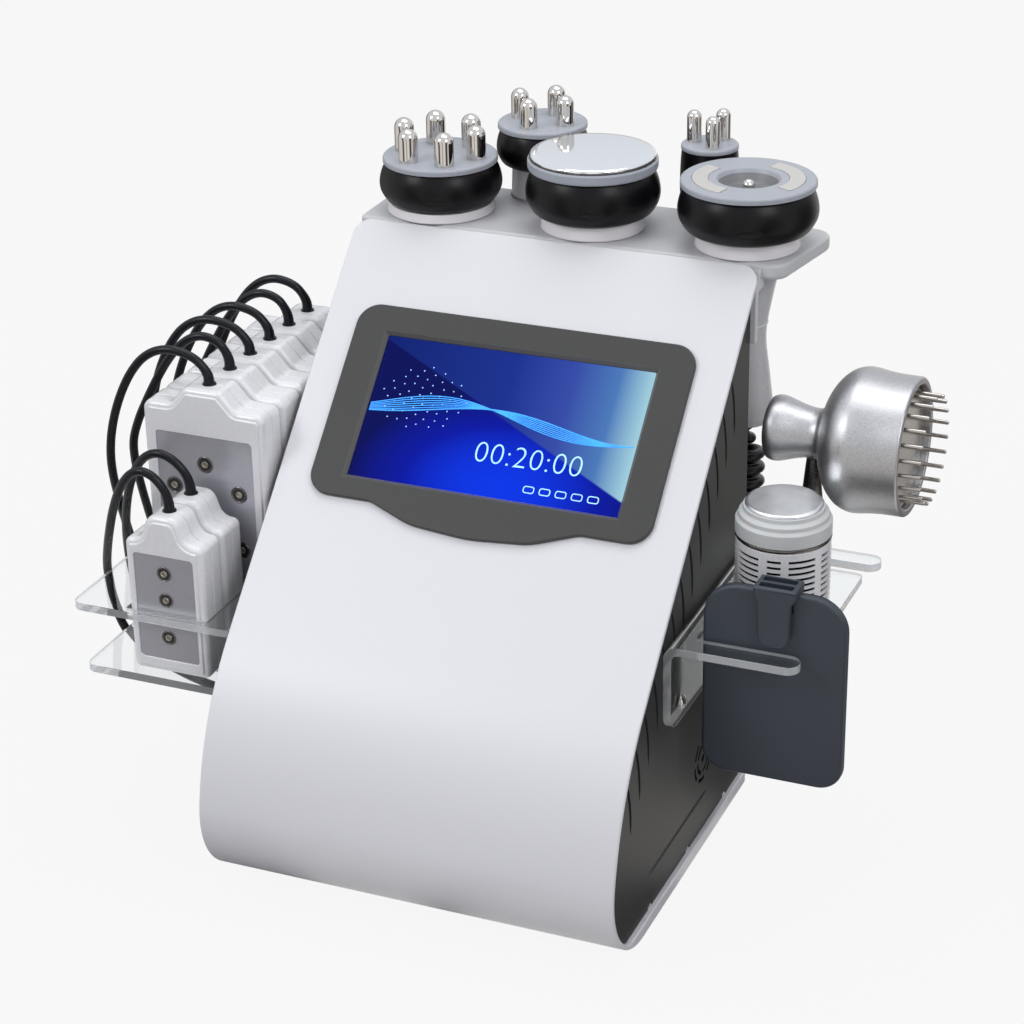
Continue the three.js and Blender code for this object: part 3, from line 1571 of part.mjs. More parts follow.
// Power inlet: flange, housing, recessed socket with three pins and a pocket for the rocker above it.
function makeInlet() {
  const [w, h] = [inletWidth / 2, inletHeight / 2];
  const y1 = rearY + clearance;
  const plan = rectangle(inletZ - h, inletX - w, inletZ + h, inletX + w, 2 * inletFlange);
  const flange = prism(plan, y1, y1 + inletFlange, "Y");
  const block = (x, z, halfWidth, halfHeight, y0, yEnd) =>
    box(x - halfWidth, x + halfWidth, y0, yEnd, z - halfHeight, z + halfHeight);
  const margin = inletFlange + clearance;
  const housing = block(inletX, inletZ, w - margin, h - margin, y1 - inletDepth, y1 + inletFlange / 2);
  const face = y1 + inletFlange;
  const floorY = y1 - inletDepth + inletFlange;
  const socketMidZ = inletZ - h / 2;
  const [cw, ch] = inletCavity.map((size) => size / 2);
  const cavity = block(inletX, socketMidZ, cw, ch, floorY, face + overrun);
  const rockerMidZ = inletZ + h / 2;
  const [rw, rh] = rockerSize.map((size) => size / 2 + rockerPlay);
  const pocket = block(inletX, rockerMidZ, rw, rh, floorY, face + overrun);
  const [pw, pl, ph] = inletPin;
  const pinY = floorY - inletFlange / 2;
  const pins = [-1, 0, 1].map((side) =>
    block(inletX + side * inletPinPitch, socketMidZ, pw / 2, ph / 2, pinY, pinY + pl),
  );
  const pivotY = face - rockerPivotDepth;
  const axle = bar(rockerAxleRadius, 2 * rw + inletFlange, "X", inletX, pivotY, rockerMidZ, pinSides);
  add("power_inlet", join(cut(join(flange, housing), [cavity, pocket]), ...pins, axle), plastic);

  const [sw, sh] = rockerSize.map((size) => size / 2);
  const tilt = Math.tan(THREE.MathUtils.degToRad(rockerThrow));
  const rocker = prism(
    outline([
      [face + rockerCrown * 0.2, rockerMidZ - sh],
      [face + rockerCrown * 0.2 + sh * tilt * 0.35, rockerMidZ, sh],
      [face + rockerCrown + clearance, rockerMidZ + sh],
      [pivotY - rockerCrown, rockerMidZ + sh * 0.75],
      [pivotY - rockerCrown, rockerMidZ - sh * 0.75],
    ], 10),
    inletX - sw,
    inletX + sw,
    "X",
  );
  const bearing = bar(rockerAxleRadius + clearance, 2 * rw, "X", inletX, pivotY, rockerMidZ, pinSides);
  add("power_switch", cut(rocker, [bearing]), rockerRed);
}

// Cords. The points of a route are chosen by hand and stay as they are.
function cordGeometry(points, radius, sides, steps) {
  const curve = new THREE.CatmullRomCurve3(points, false, "centripetal");
  const shape = new THREE.Shape(circle(0, 0, radius, sides));
  return new THREE.ExtrudeGeometry(shape, { steps, bevelEnabled: false, extrudePath: curve });
}

function cordLength(points) {
  return new THREE.CatmullRomCurve3(points, false, "centripetal").getLength();
}

// Route of a pad's cable: up out of the neck, over to the left, down outside the rack, back under it.
// Each point is [x, y, z] with y from the pad's own middle until the cable turns to its gland.
const largeRoute = [
  [-175.5, 0, 273.6], [-176.2, 0, 279], [-179.5, -0.7, 284.8], [-184.6, -1.5, 289.3], [-192.3, -2.3, 292.8],
  [-201.2, -3, 293.9], [-210.4, -3.6, 291.6], [-218.9, -4.3, 286], [-226.6, -5.3, 276.3], [-233.2, -7, 263],
  [-238.2, -8.6, 248.4], [-241.2, -10.2, 234], [-242.6, -10.6, 220], [-243, -8.9, 206], [-243, -5, 192],
  [-243, 2.5, 167], [-243, 9.5, 148], [-242.6, 17, 126], [-239, 23, 107],
];
const smallRoute = [
  [-175.5, 0, 215.1], [-175.8, 0, 220], [-177.2, -0.4, 226], [-180.6, -1, 232], [-185, -1.5, 237],
  [-191, -2, 239.6], [-197.8, -1.8, 237.6], [-204.7, -1, 230.7], [-210.8, 1, 220.7], [-217.9, 5, 206.2],
  [-225.3, 11, 188.8], [-232.8, 19, 170.7], [-240.4, 28, 155.5], [-242.8, 33.4, 140], [-242.9, 36.2, 124],
  [-239.5, 38.5, 107],
];
const loopPoints = 12; // points of a route that belong to its loop
const largeLoopShares = [1, 0.6, 1.05, 0.9, 0.6, 0.8]; // how far the loop of each reaches out
const smallLoopShares = [1, 1.25];
const runRoute = [
  [-226, 0.12, 93], [-206, 0.35, 86], [-184, 0.65, 83], [-163, 0.9, 82.2], [-147, 1, 82], [-134.6, 1, 82],
]; // here y is the share of the way from the pad's line to the gland's

function makeCables() {
  const shares = [...smallLoopShares, ...largeLoopShares];
  for (const [index, { name, size, y }] of padPlaces().entries()) {
    const route = size === largePad ? largeRoute : smallRoute;
    const exitX = route[0][0];
    const points = route.map(([px, py, pz], i) => {
      const along = Math.min(1, i / loopPoints);
      const reach = shares[index] + (1 - shares[index]) * along * along;
      return axis(exitX + (px - exitX) * reach, y + py, pz);
    });
    const start = y + route[route.length - 1][1];
    for (const [px, share, pz] of runRoute) points.push(axis(px, start + (glandY(y) - start) * share, pz));
    add(name + "_cable", cordGeometry(points, cableRadius, cableSides, cableSteps), cordBlack, cords);
    console.log(name + "_cable: " + cordLength(points).toFixed(0) + " mm long");
  }
}

const curlTopZ = trayTop - trayThickness - handleLength - clearance;
const curlEndZ = curlTopZ - 2 * curlTail - curlCount * curlPitch;
const cordEndZ = curlEndZ - curlDrop;

// Centre line of the curly cord: a straight tail, the curls, and a tail that turns into the rear gland.
function curlyPoints() {
  const x = heads.vacuum.x;
  const y = headY("vacuum");
  const points = [axis(x, y, curlTopZ), axis(x, y, curlTopZ - curlTail)];
  const total = curlCount * curlSteps;
  for (let i = 0; i <= total; i++) {
    const angle = (2 * Math.PI * i) / curlSteps;
    const spread = curlRadius * Math.min(1, (i + 1) / curlLeadSteps, (total - i + 1) / curlLeadSteps);
    const z = curlTopZ - curlTail * curlStartShare - (curlCount * curlPitch * i) / total;
    points.push(axis(x + spread * Math.cos(angle), y + spread * Math.sin(angle), z));
  }
  const glandFace = rearY + glandLength + clearance;
  points.push(axis(x, y, curlEndZ - curlTail));
  points.push(axis(x, y - curlTail * 0.75, curlEndZ - curlDrop * 0.78));
  points.push(axis(x, y - curlTail * 1.75, cordEndZ));
  points.push(axis(x, glandFace + curlTail * 0.9, cordEndZ), axis(x, glandFace, cordEndZ));
  return points;
}

function makeCurlyCord() {
  const points = curlyPoints();
  add("curly_cord", cordGeometry(points, curlCordRadius, curlSides, points.length - 1), cordBlack, cords);
  console.log("curly cord: " + cordLength(points).toFixed(0) + " mm long");
  const gap = leastGap(points, curlCordRadius).toFixed(2);
  console.log("curly cord: least gap between its turns " + gap + " mm");
}

// Least gap between stretches of a wound cord that lie half a turn or more apart along it.
function leastGap(points, radius) {
  const curve = new THREE.CatmullRomCurve3(points, false, "centripetal");
  const samples = curve.getSpacedPoints(curlCount * 24);
  const step = curve.getLength() / (samples.length - 1);
  const apart = Math.ceil((Math.PI * curlRadius) / step);
  let least = Infinity;
  samples.forEach((a, i) => {
    for (let j = i + apart; j < samples.length; j++) least = Math.min(least, a.distanceTo(samples[j]));
  });
  return least - 2 * radius;
}

makeShell();
makeSidePanel("left_side_panel", -1);
makeSidePanel("right_side_panel", 1);
makeRearCover();
makeScreen();
makeTray();
makePinHead("six_pin", handles.large, bowlShares, thumbDimples);
makePinHead("four_pin", handles.middle, bowlShares, thumbDimples);
makePinHead("three_pin", handles.slim, barrelShares, 0);
makeCavitationHead();
makeVacuumHead();
makeRack();
makePads();
makeHolder();
makeCoolingHead();
makeMassager();
makePaddle();
makeBoard();
makeSupply();
makePump();
makeFan();
makeInlet();
makeCables();
makeCurlyCord();

// The origin is the middle of the rigid pieces' bounding box, at the surface the machine stands on.
const bounds = new THREE.Box3().setFromObject(rigid, true);
const middle = bounds.getCenter(new THREE.Vector3());
machine.position.set(-middle.x, -middle.y, -bounds.min.z);

export default machine;
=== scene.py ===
import math

import bmesh
import bpy
from mathutils import Matrix, Vector
from mathutils.geometry import tessellate_polygon


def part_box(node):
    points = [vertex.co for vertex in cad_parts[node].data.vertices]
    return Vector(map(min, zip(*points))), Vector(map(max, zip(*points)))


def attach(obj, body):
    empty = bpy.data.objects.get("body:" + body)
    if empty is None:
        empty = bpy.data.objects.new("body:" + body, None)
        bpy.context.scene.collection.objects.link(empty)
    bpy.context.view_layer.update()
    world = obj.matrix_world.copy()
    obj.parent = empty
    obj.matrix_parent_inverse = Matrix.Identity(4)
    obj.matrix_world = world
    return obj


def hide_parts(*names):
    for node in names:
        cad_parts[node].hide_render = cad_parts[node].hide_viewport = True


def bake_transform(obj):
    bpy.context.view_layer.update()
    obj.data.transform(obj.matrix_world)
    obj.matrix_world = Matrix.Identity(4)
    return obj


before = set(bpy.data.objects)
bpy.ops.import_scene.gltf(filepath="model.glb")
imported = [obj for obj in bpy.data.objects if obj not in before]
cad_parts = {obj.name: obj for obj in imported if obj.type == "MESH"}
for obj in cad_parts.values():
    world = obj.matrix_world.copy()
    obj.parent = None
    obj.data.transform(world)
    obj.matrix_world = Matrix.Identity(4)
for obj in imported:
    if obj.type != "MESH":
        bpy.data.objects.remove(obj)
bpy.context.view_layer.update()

# Table-top body-care machine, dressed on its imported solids. Sizes are in millimetres from the middle of the
# white shell, as in the solids' source, and become metres in the shared frame when a mesh is made.
MM = 0.001
GAP = 0.3
FRONT = -118.5
low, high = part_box("front_shell")
SHIFT = Vector(((low[0] + high[0]) / 2, low[1] - FRONT * MM, 0))


def at(x, y, z):
    return Vector((x, y, z)) * MM + SHIFT


def link(thing):
    bpy.context.scene.collection.objects.link(thing)
    return thing


# The camera stands where the photograph was taken, a little to the right and above.
CAMERA_PLACE = (577.3, -1295.2, 888.8)
CAMERA_RIGHT = (0.9225, 0.3857, -0.0167)
CAMERA_BACK = (0.3556, -0.8320, 0.4258)
CAMERA_LENS = 95


def make_camera():
    back = Vector(CAMERA_BACK).normalized()
    up = back.cross(Vector(CAMERA_RIGHT).normalized()).normalized()
    right = up.cross(back).normalized()
    data = bpy.data.cameras.new("camera")
    data.lens, data.sensor_width, data.clip_end = CAMERA_LENS, 36, 50
    camera = link(bpy.data.objects.new("camera", data))
    turn = Matrix((right, up, back)).transposed().to_4x4()
    camera.matrix_world = Matrix.Translation(at(*CAMERA_PLACE)) @ turn
    bpy.context.scene.camera = camera


# Shader nodes
def feed(tree, node, inputs):
    """Sets a node's inputs, each to a value or to another node's output."""
    for key, value in inputs.items():
        if isinstance(value, bpy.types.NodeSocket):
            tree.links.new(value, node.inputs[key])
        else:
            node.inputs[key].default_value = value
    return node


def add(tree, kind, inputs, output=0):
    return feed(tree, tree.nodes.new("ShaderNode" + kind), inputs).outputs[output]


def calc(tree, operation, *values):
    node = feed(tree, tree.nodes.new("ShaderNodeMath"), dict(enumerate(values)))
    node.operation = operation
    return node.outputs["Value"]


def ramp(tree, factor, *stops):
    """Colour ramp through (position, colour) stops."""
    node = feed(tree, tree.nodes.new("ShaderNodeValToRGB"), {"Fac": factor})
    elements = node.color_ramp.elements
    for end in (0, -1):
        position, color = stops[end]
        elements[end].position, elements[end].color = position, (*color, 1)
    for position, color in stops[1:-1]:
        elements.new(position).color = (*color, 1)
    return node.outputs["Color"]


def remap(tree, value, low, high, to_low=0, to_high=1):
    return add(tree, "MapRange", {"Value": value, "From Min": low, "From Max": high, "To Min": to_low,
                                  "To Max": to_high}, "Result")


def mixed_color(tree, share, first, second):
    node = tree.nodes.new("ShaderNodeMix")
    node.data_type = "RGBA"
    return feed(tree, node, {0: share, 6: first, 7: second}).outputs[2]


def mixed_shader(tree, share, first, second):
    return add(tree, "MixShader", {"Fac": share, 1: first, 2: second})


def grain(tree, scale, detail=2):
    place = add(tree, "TexCoord", {}, "Object")
    return add(tree, "TexNoise", {"Vector": place, "Scale": scale, "Detail": detail}, "Fac")


def material(name):
    mat = bpy.data.materials.new("look_" + name)
    mat.use_nodes = True
    return mat, mat.node_tree, mat.node_tree.nodes["Principled BSDF"]


def finish(name, color, roughness, metallic=0.0, speckle=0.03, scale=500, bump=0.04, spread=0.04, **sockets):
    """Material whose colour, roughness and relief follow a fine grain."""
    mat, tree, shader = material(name)
    noise = grain(tree, scale, 4)
    dark, pale = [[min(1, c * share) for c in color] for share in (1 - speckle, 1 + speckle)]
    inputs = {"Base Color": ramp(tree, noise, (0.3, dark), (0.7, pale)),
              "Roughness": remap(tree, noise, 0.3, 0.7, max(0, roughness - spread), roughness + spread),
              "Metallic": metallic}
    if bump:
        relief = {"Strength": bump, "Distance": 0.0002, "Height": noise}
        inputs["Normal"] = add(tree, "Bump", relief, "Normal")
    feed(tree, shader, inputs | {socket.replace("_", " "): value for socket, value in sockets.items()})
    return mat


WHITE = finish("shell_white", (0.77, 0.77, 0.81), 0.38, speckle=0.006, scale=900, bump=0.012,
               Coat_Weight=0.12, Coat_Roughness=0.3)
PANEL = finish("panel_grey", (0.036, 0.036, 0.0365), 0.5, speckle=0.12, scale=1500, bump=0.12,
               Specular_IOR_Level=0.3)
BEZEL = finish("bezel_grey", (0.056, 0.056, 0.055), 0.45, speckle=0.1, scale=1500, bump=0.08,
               Specular_IOR_Level=0.32)
TRAY = finish("tray_grey", (0.6, 0.605, 0.625), 0.4, speckle=0.02)
RING = finish("ring_white", (0.87, 0.84, 0.87), 0.26, speckle=0.004, bump=0.0, spread=0.004)
GRIP = finish("grip_grey", (0.6, 0.6, 0.62), 0.3, speckle=0.012, bump=0.02)
TRIM = finish("trim_grey", (0.1, 0.1, 0.098), 0.4, speckle=0.06, scale=1500)
GLOSS = finish("gloss_white", (0.82, 0.82, 0.85), 0.22, Coat_Weight=0.4, Coat_Roughness=0.12)
RUBBER = finish("bowl_black", (0.0035, 0.003, 0.004), 0.33, speckle=0.2, scale=1200, bump=0.05,
                Specular_IOR_Level=0.22)
FROST = finish("frosted_grey", (0.4, 0.425, 0.478), 0.42, speckle=0.015, Subsurface_Weight=0.2,
               Subsurface_Scale=0.004)
FROST_WHITE = finish("frosted_collar", (0.63, 0.645, 0.655), 0.36, speckle=0.01, Subsurface_Weight=0.25,
                     Subsurface_Scale=0.004)
# Darker grey for the inside of the vacuum cup: painted shade in the hollow.
CUP_SHADE = finish("cup_painted_shade", (0.2, 0.205, 0.215), 0.4, speckle=0.03)
CRESCENT = finish("crescent_grey", (0.6, 0.585, 0.565), 0.36, 0.15, speckle=0.01, bump=0.01)
STEEL = finish("polished_steel", (0.68, 0.65, 0.62), 0.05, 1.0, speckle=0.02, scale=300, bump=0.01,
               spread=0.02)
PIN_STEEL = finish("pin_steel", (0.5, 0.47, 0.44), 0.22, 1.0)
MIRROR = finish("disc_mirror", (0.86, 0.88, 0.9), 0.07, 1.0, speckle=0.01, scale=200, bump=0.008, spread=0.02)
SOFT_MIRROR = finish("disc_soft", (0.93, 0.94, 0.96), 0.34, 1.0, speckle=0.05, scale=120, bump=0.01)
SATIN = finish("satin_metal", (0.5, 0.5, 0.515), 0.38, 1.0, speckle=0.2, scale=1700, bump=0.5, spread=0.08)
DARK = finish("dark_metal", (0.16, 0.15, 0.145), 0.28, 1.0, speckle=0.1, scale=900)
ACRYLIC = finish("clear_acrylic", (0.93, 0.95, 0.955), 0.02, speckle=0.005, scale=60, bump=0.01, spread=0.01,
                 Transmission_Weight=1.0, IOR=1.47)
# Pale, partly see-through edge look: painted highlight for the light that the clear sheets' cut edges catch.
EDGE_LIGHT = finish("acrylic_painted_edge_light", (0.78, 0.8, 0.82), 0.1, speckle=0.02, scale=300, bump=0.02, spread=0.03,
              Alpha=0.4)
SLATE = finish("slate_silicone", (0.036, 0.045, 0.062), 0.46, speckle=0.06, scale=1800, bump=0.08)
CORD = finish("cord_black", (0.005, 0.006, 0.009), 0.3, speckle=0.15, scale=900, bump=0.05,
              Specular_IOR_Level=0.3)
PLASTIC = finish("black_plastic", (0.012, 0.012, 0.013), 0.45, speckle=0.1, scale=1200, bump=0.1)
# Near-black, barely glossy look for sheets put behind vents and slots: painted shade where the inside is only
# dark.
SHADE_BLACK = finish("painted_shade_black", (0.004, 0.004, 0.0045), 0.7, speckle=0.2, scale=900, bump=0.05,
                Specular_IOR_Level=0.05)
BOARD = finish("board_green", (0.01, 0.1, 0.035), 0.4, speckle=0.25, scale=350)
RED = finish("rocker_red", (0.35, 0.012, 0.012), 0.3, speckle=0.05)
PLATE = finish("plate_silver", (0.47, 0.47, 0.52), 0.34, 0.5, speckle=0.04, scale=900, bump=0.05)
AMBER = finish("diode_amber", (0.34, 0.31, 0.26), 0.25, 0.6, speckle=0.2, scale=1500)


# Outlines
def outline(corners, closed=True, step=7.0):
    """Points of an outline whose [x, y, radius] corners are rounded, a point every step degrees."""
    points = []
    count = len(corners)
    for i, (x, y, *rest) in enumerate(corners):
        radius = rest[0] if rest else 0
        corner = Vector((x, y))
        if not radius or (not closed and i in (0, count - 1)):
            points.append(corner)
            continue
        u = (Vector(corners[i - 1][:2]) - corner).normalized()
        v = (Vector(corners[(i + 1) % count][:2]) - corner).normalized()
        half = math.acos(max(-1, min(1, u.dot(v)))) / 2
        centre = corner + (u + v).normalized() * radius / math.sin(half)
        first = corner + u * radius / math.tan(half) - centre
        last = corner + v * radius / math.tan(half) - centre
        start = math.degrees(math.atan2(first.y, first.x))
        sweep = math.degrees(math.atan2(first.cross(last), first.dot(last)))
        steps = max(2, math.ceil(abs(sweep) / step))
        points += arc(centre.x, centre.y, radius, start, start + sweep, steps)
    return points


def rounded_profile(corners):
    return outline(corners, closed=False, step=12)


def rectangle(x0, y0, x1, y1, radius=0):
    return outline([(x0, y0, radius), (x1, y0, radius), (x1, y1, radius), (x0, y1, radius)])


def arc(x, y, radius, start, end, steps):
    turns = [math.radians(start + (end - start) * k / steps) for k in range(steps + 1)]
    return [Vector((x + radius * math.cos(a), y + radius * math.sin(a))) for a in turns]


def ring(x, y, radius, count=96, start=0):
    return arc(x, y, radius, start, start + 360, count)[:-1]


def sector(x, y, inner, outer, start, end, steps=10):
    return arc(x, y, outer, start, end, steps) + arc(x, y, inner, start, end, steps)[::-1]


def through(points, per=6):
    """Smooth curve through points in the plane or in space."""
    points = [Vector(p) for p in points]
    out = []
    for i in range(len(points) - 1):
        p1, p2 = points[i], points[i + 1]
        p0 = points[i - 1] if i else p1 * 2 - p2
        p3 = points[i + 2] if i + 2 < len(points) else p2 * 2 - p1
        a, b, c = [(q - p).length ** 0.5 for p, q in ((p0, p1), (p1, p2), (p2, p3))]
        m1 = ((p1 - p0) / a - (p2 - p0) / (a + b) + (p2 - p1) / b) * b
        m2 = ((p2 - p1) / b - (p3 - p1) / (b + c) + (p3 - p2) / c) * b
        for k in range(per):
            t = k / per
            out.append(p1 * (2 * t**3 - 3 * t**2 + 1) + m1 * (t**3 - 2 * t**2 + t)
                       + p2 * (3 * t**2 - 2 * t**3) + m2 * (t**3 - t**2))
    return out + [points[-1]]


def facing(points):
    """The same loop, counter-clockwise and without doubled points."""
    loop = [p for i, p in enumerate(points) if (p - points[i - 1]).length > 1e-4]
    area = sum(loop[i - 1].cross(loop[i]) for i in range(len(loop)))
    return loop if area > 0 else loop[::-1]


def shifted(loop, inset):
    """Counter-clockwise loop moved inwards."""
    if not inset:
        return loop
    inside = []
    for i, p in enumerate(loop):
        u = (p - loop[i - 1]).normalized()
        v = (loop[(i + 1) % len(loop)] - p).normalized()
        normal = Vector((-(u.y + v.y), u.x + v.x))
        inside.append(p + normal * (2 * inset / max(normal.length_squared, 0.3)))
    return inside


# Parts: a part is its vertices and its faces
HERE = Matrix.Identity(4)
ALONG = {"X": Matrix(((0, 0, 1, 0), (1, 0, 0, 0), (0, 1, 0, 0), (0, 0, 0, 1))),
         "Y": Matrix(((0, 1, 0, 0), (0, 0, 1, 0), (1, 0, 0, 0), (0, 0, 0, 1))),
         "Z": HERE}
UPRIGHT = Matrix(((1, 0, 0, 0), (0, 0, 1, 0), (0, 1, 0, 0), (0, 0, 0, 1)))
TO_SIDE = {hand: Matrix.Rotation(hand * math.pi / 2, 4, "Y") for hand in (-1, 1)}
TO_FRONT = Matrix.Rotation(math.pi / 2, 4, "X")
TO_REAR = Matrix.Rotation(-math.pi / 2, 4, "X")
DOWN = Matrix.Rotation(math.pi, 4, "X")


def spot(x=0, y=0, z=0, turn=HERE):
    return Matrix.Translation((x, y, z)) @ turn


def placed(part, matrix):
    return [matrix @ v for v in part[0]], part[1]


def merged(*parts):
    verts, faces = [], []
    for more, shapes in parts:
        faces += [tuple(i + len(verts) for i in face) for face in shapes]
        verts += more
    return verts, faces


def around(part, count, radius, start=0, z=0):
    """Copies of a part on a circle."""
    return merged(*[placed(part, spot(p.x, p.y, z)) for p in ring(0, 0, radius, count, start)])


def numbered(start, count, rows):
    return [list(range(start + row * count, start + (row + 1) * count)) for row in range(rows)]


def bridge(rows):
    """Faces between neighbouring loops of vertex numbers; a loop of one is a pole."""
    faces = []
    for lower, upper in zip(rows, rows[1:]):
        count = max(len(lower), len(upper))
        for i in range(count if count > 1 else 0):
            j = (i + 1) % count
            face = [loop[k % len(loop)] for loop, k in ((lower, i), (lower, j), (upper, j), (upper, i))]
            faces.append(tuple(dict.fromkeys(face)))
    return faces


def edge_levels(edge, steps):
    """(inset, distance from the face) pairs of a rounded edge, from the face on."""
    if not edge:
        return [(0, 0)]
    turns = [math.pi / 2 * (1 - k / steps) for k in range(steps + 1)]
    return [(edge * (1 - math.cos(a)), edge * (1 - math.sin(a))) for a in turns]


def slab(points, z0, z1, top=0.0, bottom=None, holes=(), along="Z", hole_edge=None, steps=4, place=HERE):
    """Plate between two heights, with rounded edges."""
    bottom = top if bottom is None else bottom
    verts, faces, caps = [], [], ([], [])
    for number, points in enumerate([points, *holes]):
        loop = facing(points)
        inward = 1 if number == 0 else -1
        lower, upper = (bottom, top) if number == 0 or hole_edge is None else (hole_edge, hole_edge)
        levels = [(inset, z0 + depth) for inset, depth in edge_levels(lower, steps)]
        levels += [(inset, z1 - depth) for inset, depth in reversed(edge_levels(upper, steps))]
        rows = numbered(len(verts), len(loop), len(levels))
        for inset, z in levels:
            verts += [Vector((p.x, p.y, z)) for p in shifted(loop, inward * inset)]
        faces += bridge(rows)
        caps[0].append(rows[0])
        caps[1].append(rows[-1])
    for cap in caps:
        flat = [i for loop in cap for i in loop]
        for tri in tessellate_polygon([[verts[i] for i in loop] for loop in cap]):
            faces.append(tuple(flat[i] for i in tri))
    return placed((verts, faces), place @ ALONG[along])


def lathe(profile, count=96, place=HERE, dent=None):
    """Body of revolution about Z from (radius, height) points."""
    verts, rows = [], []
    for radius, height in profile:
        first = len(verts)
        for i in range(count if radius >= 1e-4 else 1):
            a = 2 * math.pi * i / count
            r = radius - (dent(a, height) if dent else 0) if radius >= 1e-4 else 0
            verts.append(Vector((r * math.cos(a), r * math.sin(a), height)))
        rows.append(list(range(first, len(verts))))
    return placed((verts, bridge(rows)), place)


def tube(points, radii, sides=20):
    """Round tube along points, closed at both ends; radii is one radius or one for each point."""
    if not isinstance(radii, list):
        radii = [radii] * len(points)
    verts = []
    tangent = (points[1] - points[0]).normalized()
    normal = tangent.orthogonal().normalized()
    for i, p in enumerate(points):
        ahead = (points[min(i + 1, len(points) - 1)] - points[max(i - 1, 0)]).normalized()
        normal = (tangent.rotation_difference(ahead) @ normal).normalized()
        tangent = ahead
        side = tangent.cross(normal)
        verts += [p + (normal * r.x + side * r.y) for r in ring(0, 0, radii[i], sides)]
    rows = numbered(0, sides, len(points))
    return verts, bridge(rows) + [tuple(rows[0])[::-1], tuple(rows[-1])]


def cube(x0, x1, y0, y1, z0, z1, edge=0.0):
    return slab(rectangle(x0, y0, x1, y1, edge), z0, z1, min(edge, (z1 - z0) / 2.1))


# Pieces
def shape(name, part):
    mesh = bpy.data.meshes.new(name)
    mesh.from_pydata([v * MM + SHIFT for v in part[0]], [], part[1])
    work = bmesh.new()
    work.from_mesh(mesh)
    bmesh.ops.remove_doubles(work, verts=work.verts, dist=1e-7)
    bmesh.ops.recalc_face_normals(work, faces=work.faces)
    work.to_mesh(mesh)
    work.free()
    mesh.validate()
    return link(bpy.data.objects.new(name, mesh))


def settle(thing):
    """Makes the result of a thing's modifiers its own mesh."""
    graph = bpy.context.evaluated_depsgraph_get()
    graph.update()
    mesh = bpy.data.meshes.new_from_object(thing.evaluated_get(graph))
    thing.modifiers.clear()
    thing.data = mesh


def combine(thing, part, operation="DIFFERENCE"):
    tool = shape(thing.name + "_tool", part)
    change = thing.modifiers.new("cut", "BOOLEAN")
    change.operation, change.solver, change.object = operation, "MANIFOLD", tool
    settle(thing)
    bpy.data.objects.remove(tool)


def dress(thing, look, body="base", nodes=(), angle=32):
    mesh = thing.data
    mesh.materials.clear()
    mesh.materials.append(look)
    mesh.shade_smooth()
    mesh.set_sharp_from_angle(angle=math.radians(angle))
    thing.modifiers.new("normals", "WEIGHTED_NORMAL").keep_sharp = True
    settle(thing)
    if body:
        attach(thing, body)
    if nodes:
        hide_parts(*nodes)
    return thing


def piece(name, part, look, body="base", nodes=(), angle=32):
    return dress(shape(name, part), look, body, nodes, angle)


def turned(name, corners, place, look, body="base", nodes=(), angle=32, count=128):
    """Round piece from (radius, height, rounding) corners."""
    return piece(name, lathe(rounded_profile(corners), count, place), look, body, nodes, angle=angle)


# Pad cables. The routes are those of the solids' source.
ROUTES = {
    "large": [
        (-175.5, 0, 273.6), (-176.2, 0, 279), (-179.5, -0.7, 284.8), (-184.6, -1.5, 289.3),
        (-192.3, -2.3, 292.8), (-201.2, -3, 293.9), (-210.4, -3.6, 291.6), (-218.9, -4.3, 286),
        (-226.6, -5.3, 276.3), (-233.2, -7, 263), (-238.2, -8.6, 248.4), (-241.2, -10.2, 234),
        (-242.6, -10.6, 220), (-243, -8.9, 206), (-243, -5, 192), (-243, 2.5, 167), (-243, 9.5, 148),
        (-242.6, 17, 126), (-239, 23, 107)],
    "small": [
        (-175.5, 0, 215.1), (-175.8, 0, 220), (-177.2, -0.4, 226), (-180.6, -1, 232), (-185, -1.5, 237),
        (-191, -2, 239.6), (-197.8, -1.8, 237.6), (-204.7, -1, 230.7), (-210.8, 1, 220.7), (-217.9, 5, 206.2),
        (-225.3, 11, 188.8), (-232.8, 19, 170.7), (-240.4, 28, 155.5), (-242.8, 33.4, 140),
        (-242.9, 36.2, 124), (-239.5, 38.5, 107)],
}
RUN_ROUTE = [(-226, 0.12, 93), (-206, 0.35, 86), (-184, 0.65, 83), (-163, 0.9, 82.2), (-147, 1, 82),
             (-134.6, 1, 82)]
LOOP_POINTS = 12
LOOP_SHARES = [1, 1.25, 1, 0.6, 1.05, 0.9, 0.6, 0.8]
GLANDS = [-26 + 17 * i for i in range(8)]
GLAND_Z = 82
PANEL_X = 127
PAD_PITCH = 26.2
PAD_X = -175.5
PADS = [("small_pad_%d" % (i + 1), "small", -47.5 + i * PAD_PITCH) for i in range(2)]
PADS += [("large_pad_%d" % (i + 1), "large", 9.5 + i * PAD_PITCH) for i in range(6)]
CABLE_RADIUS = 2.7
CABLE_SWELL = 0.7
SWELL_LENGTH = 12
CABLE_RELIEF = [(0, 0), (4.9, 0), (4.9, 1.5), (4.2, 2.5), (3.1, 22), (2.75, 24), (2.6, 24), (0, 24)]


def path_length(points):
    return sum((b - a).length for a, b in zip(points, points[1:]))


def cable_points(route, y, gland, share):
    """Route of one pad's cable, with its loop drawn in by a share and its last run led to its gland."""
    points = []
    for i, (px, py, pz) in enumerate(route):
        reach = share + (1 - share) * min(1, i / LOOP_POINTS) ** 2
        points.append(Vector((PAD_X + (px - PAD_X) * reach, y + py, pz)))
    start = y + route[-1][1]
    points += [Vector((px, start + (gland - start) * along, pz)) for px, along, pz in RUN_ROUTE]
    for i in range(4, len(points) - 2):
        points[i] = points[i] / 2 + (points[i - 1] + points[i + 1]) / 4
    return points


def make_tube(name, line, radius, sides, node):
    """Cord piece along a line, and its path in the shared frame."""
    return piece(name, tube(line, radius, sides), CORD, None, [node]), [at(*p) for p in line]


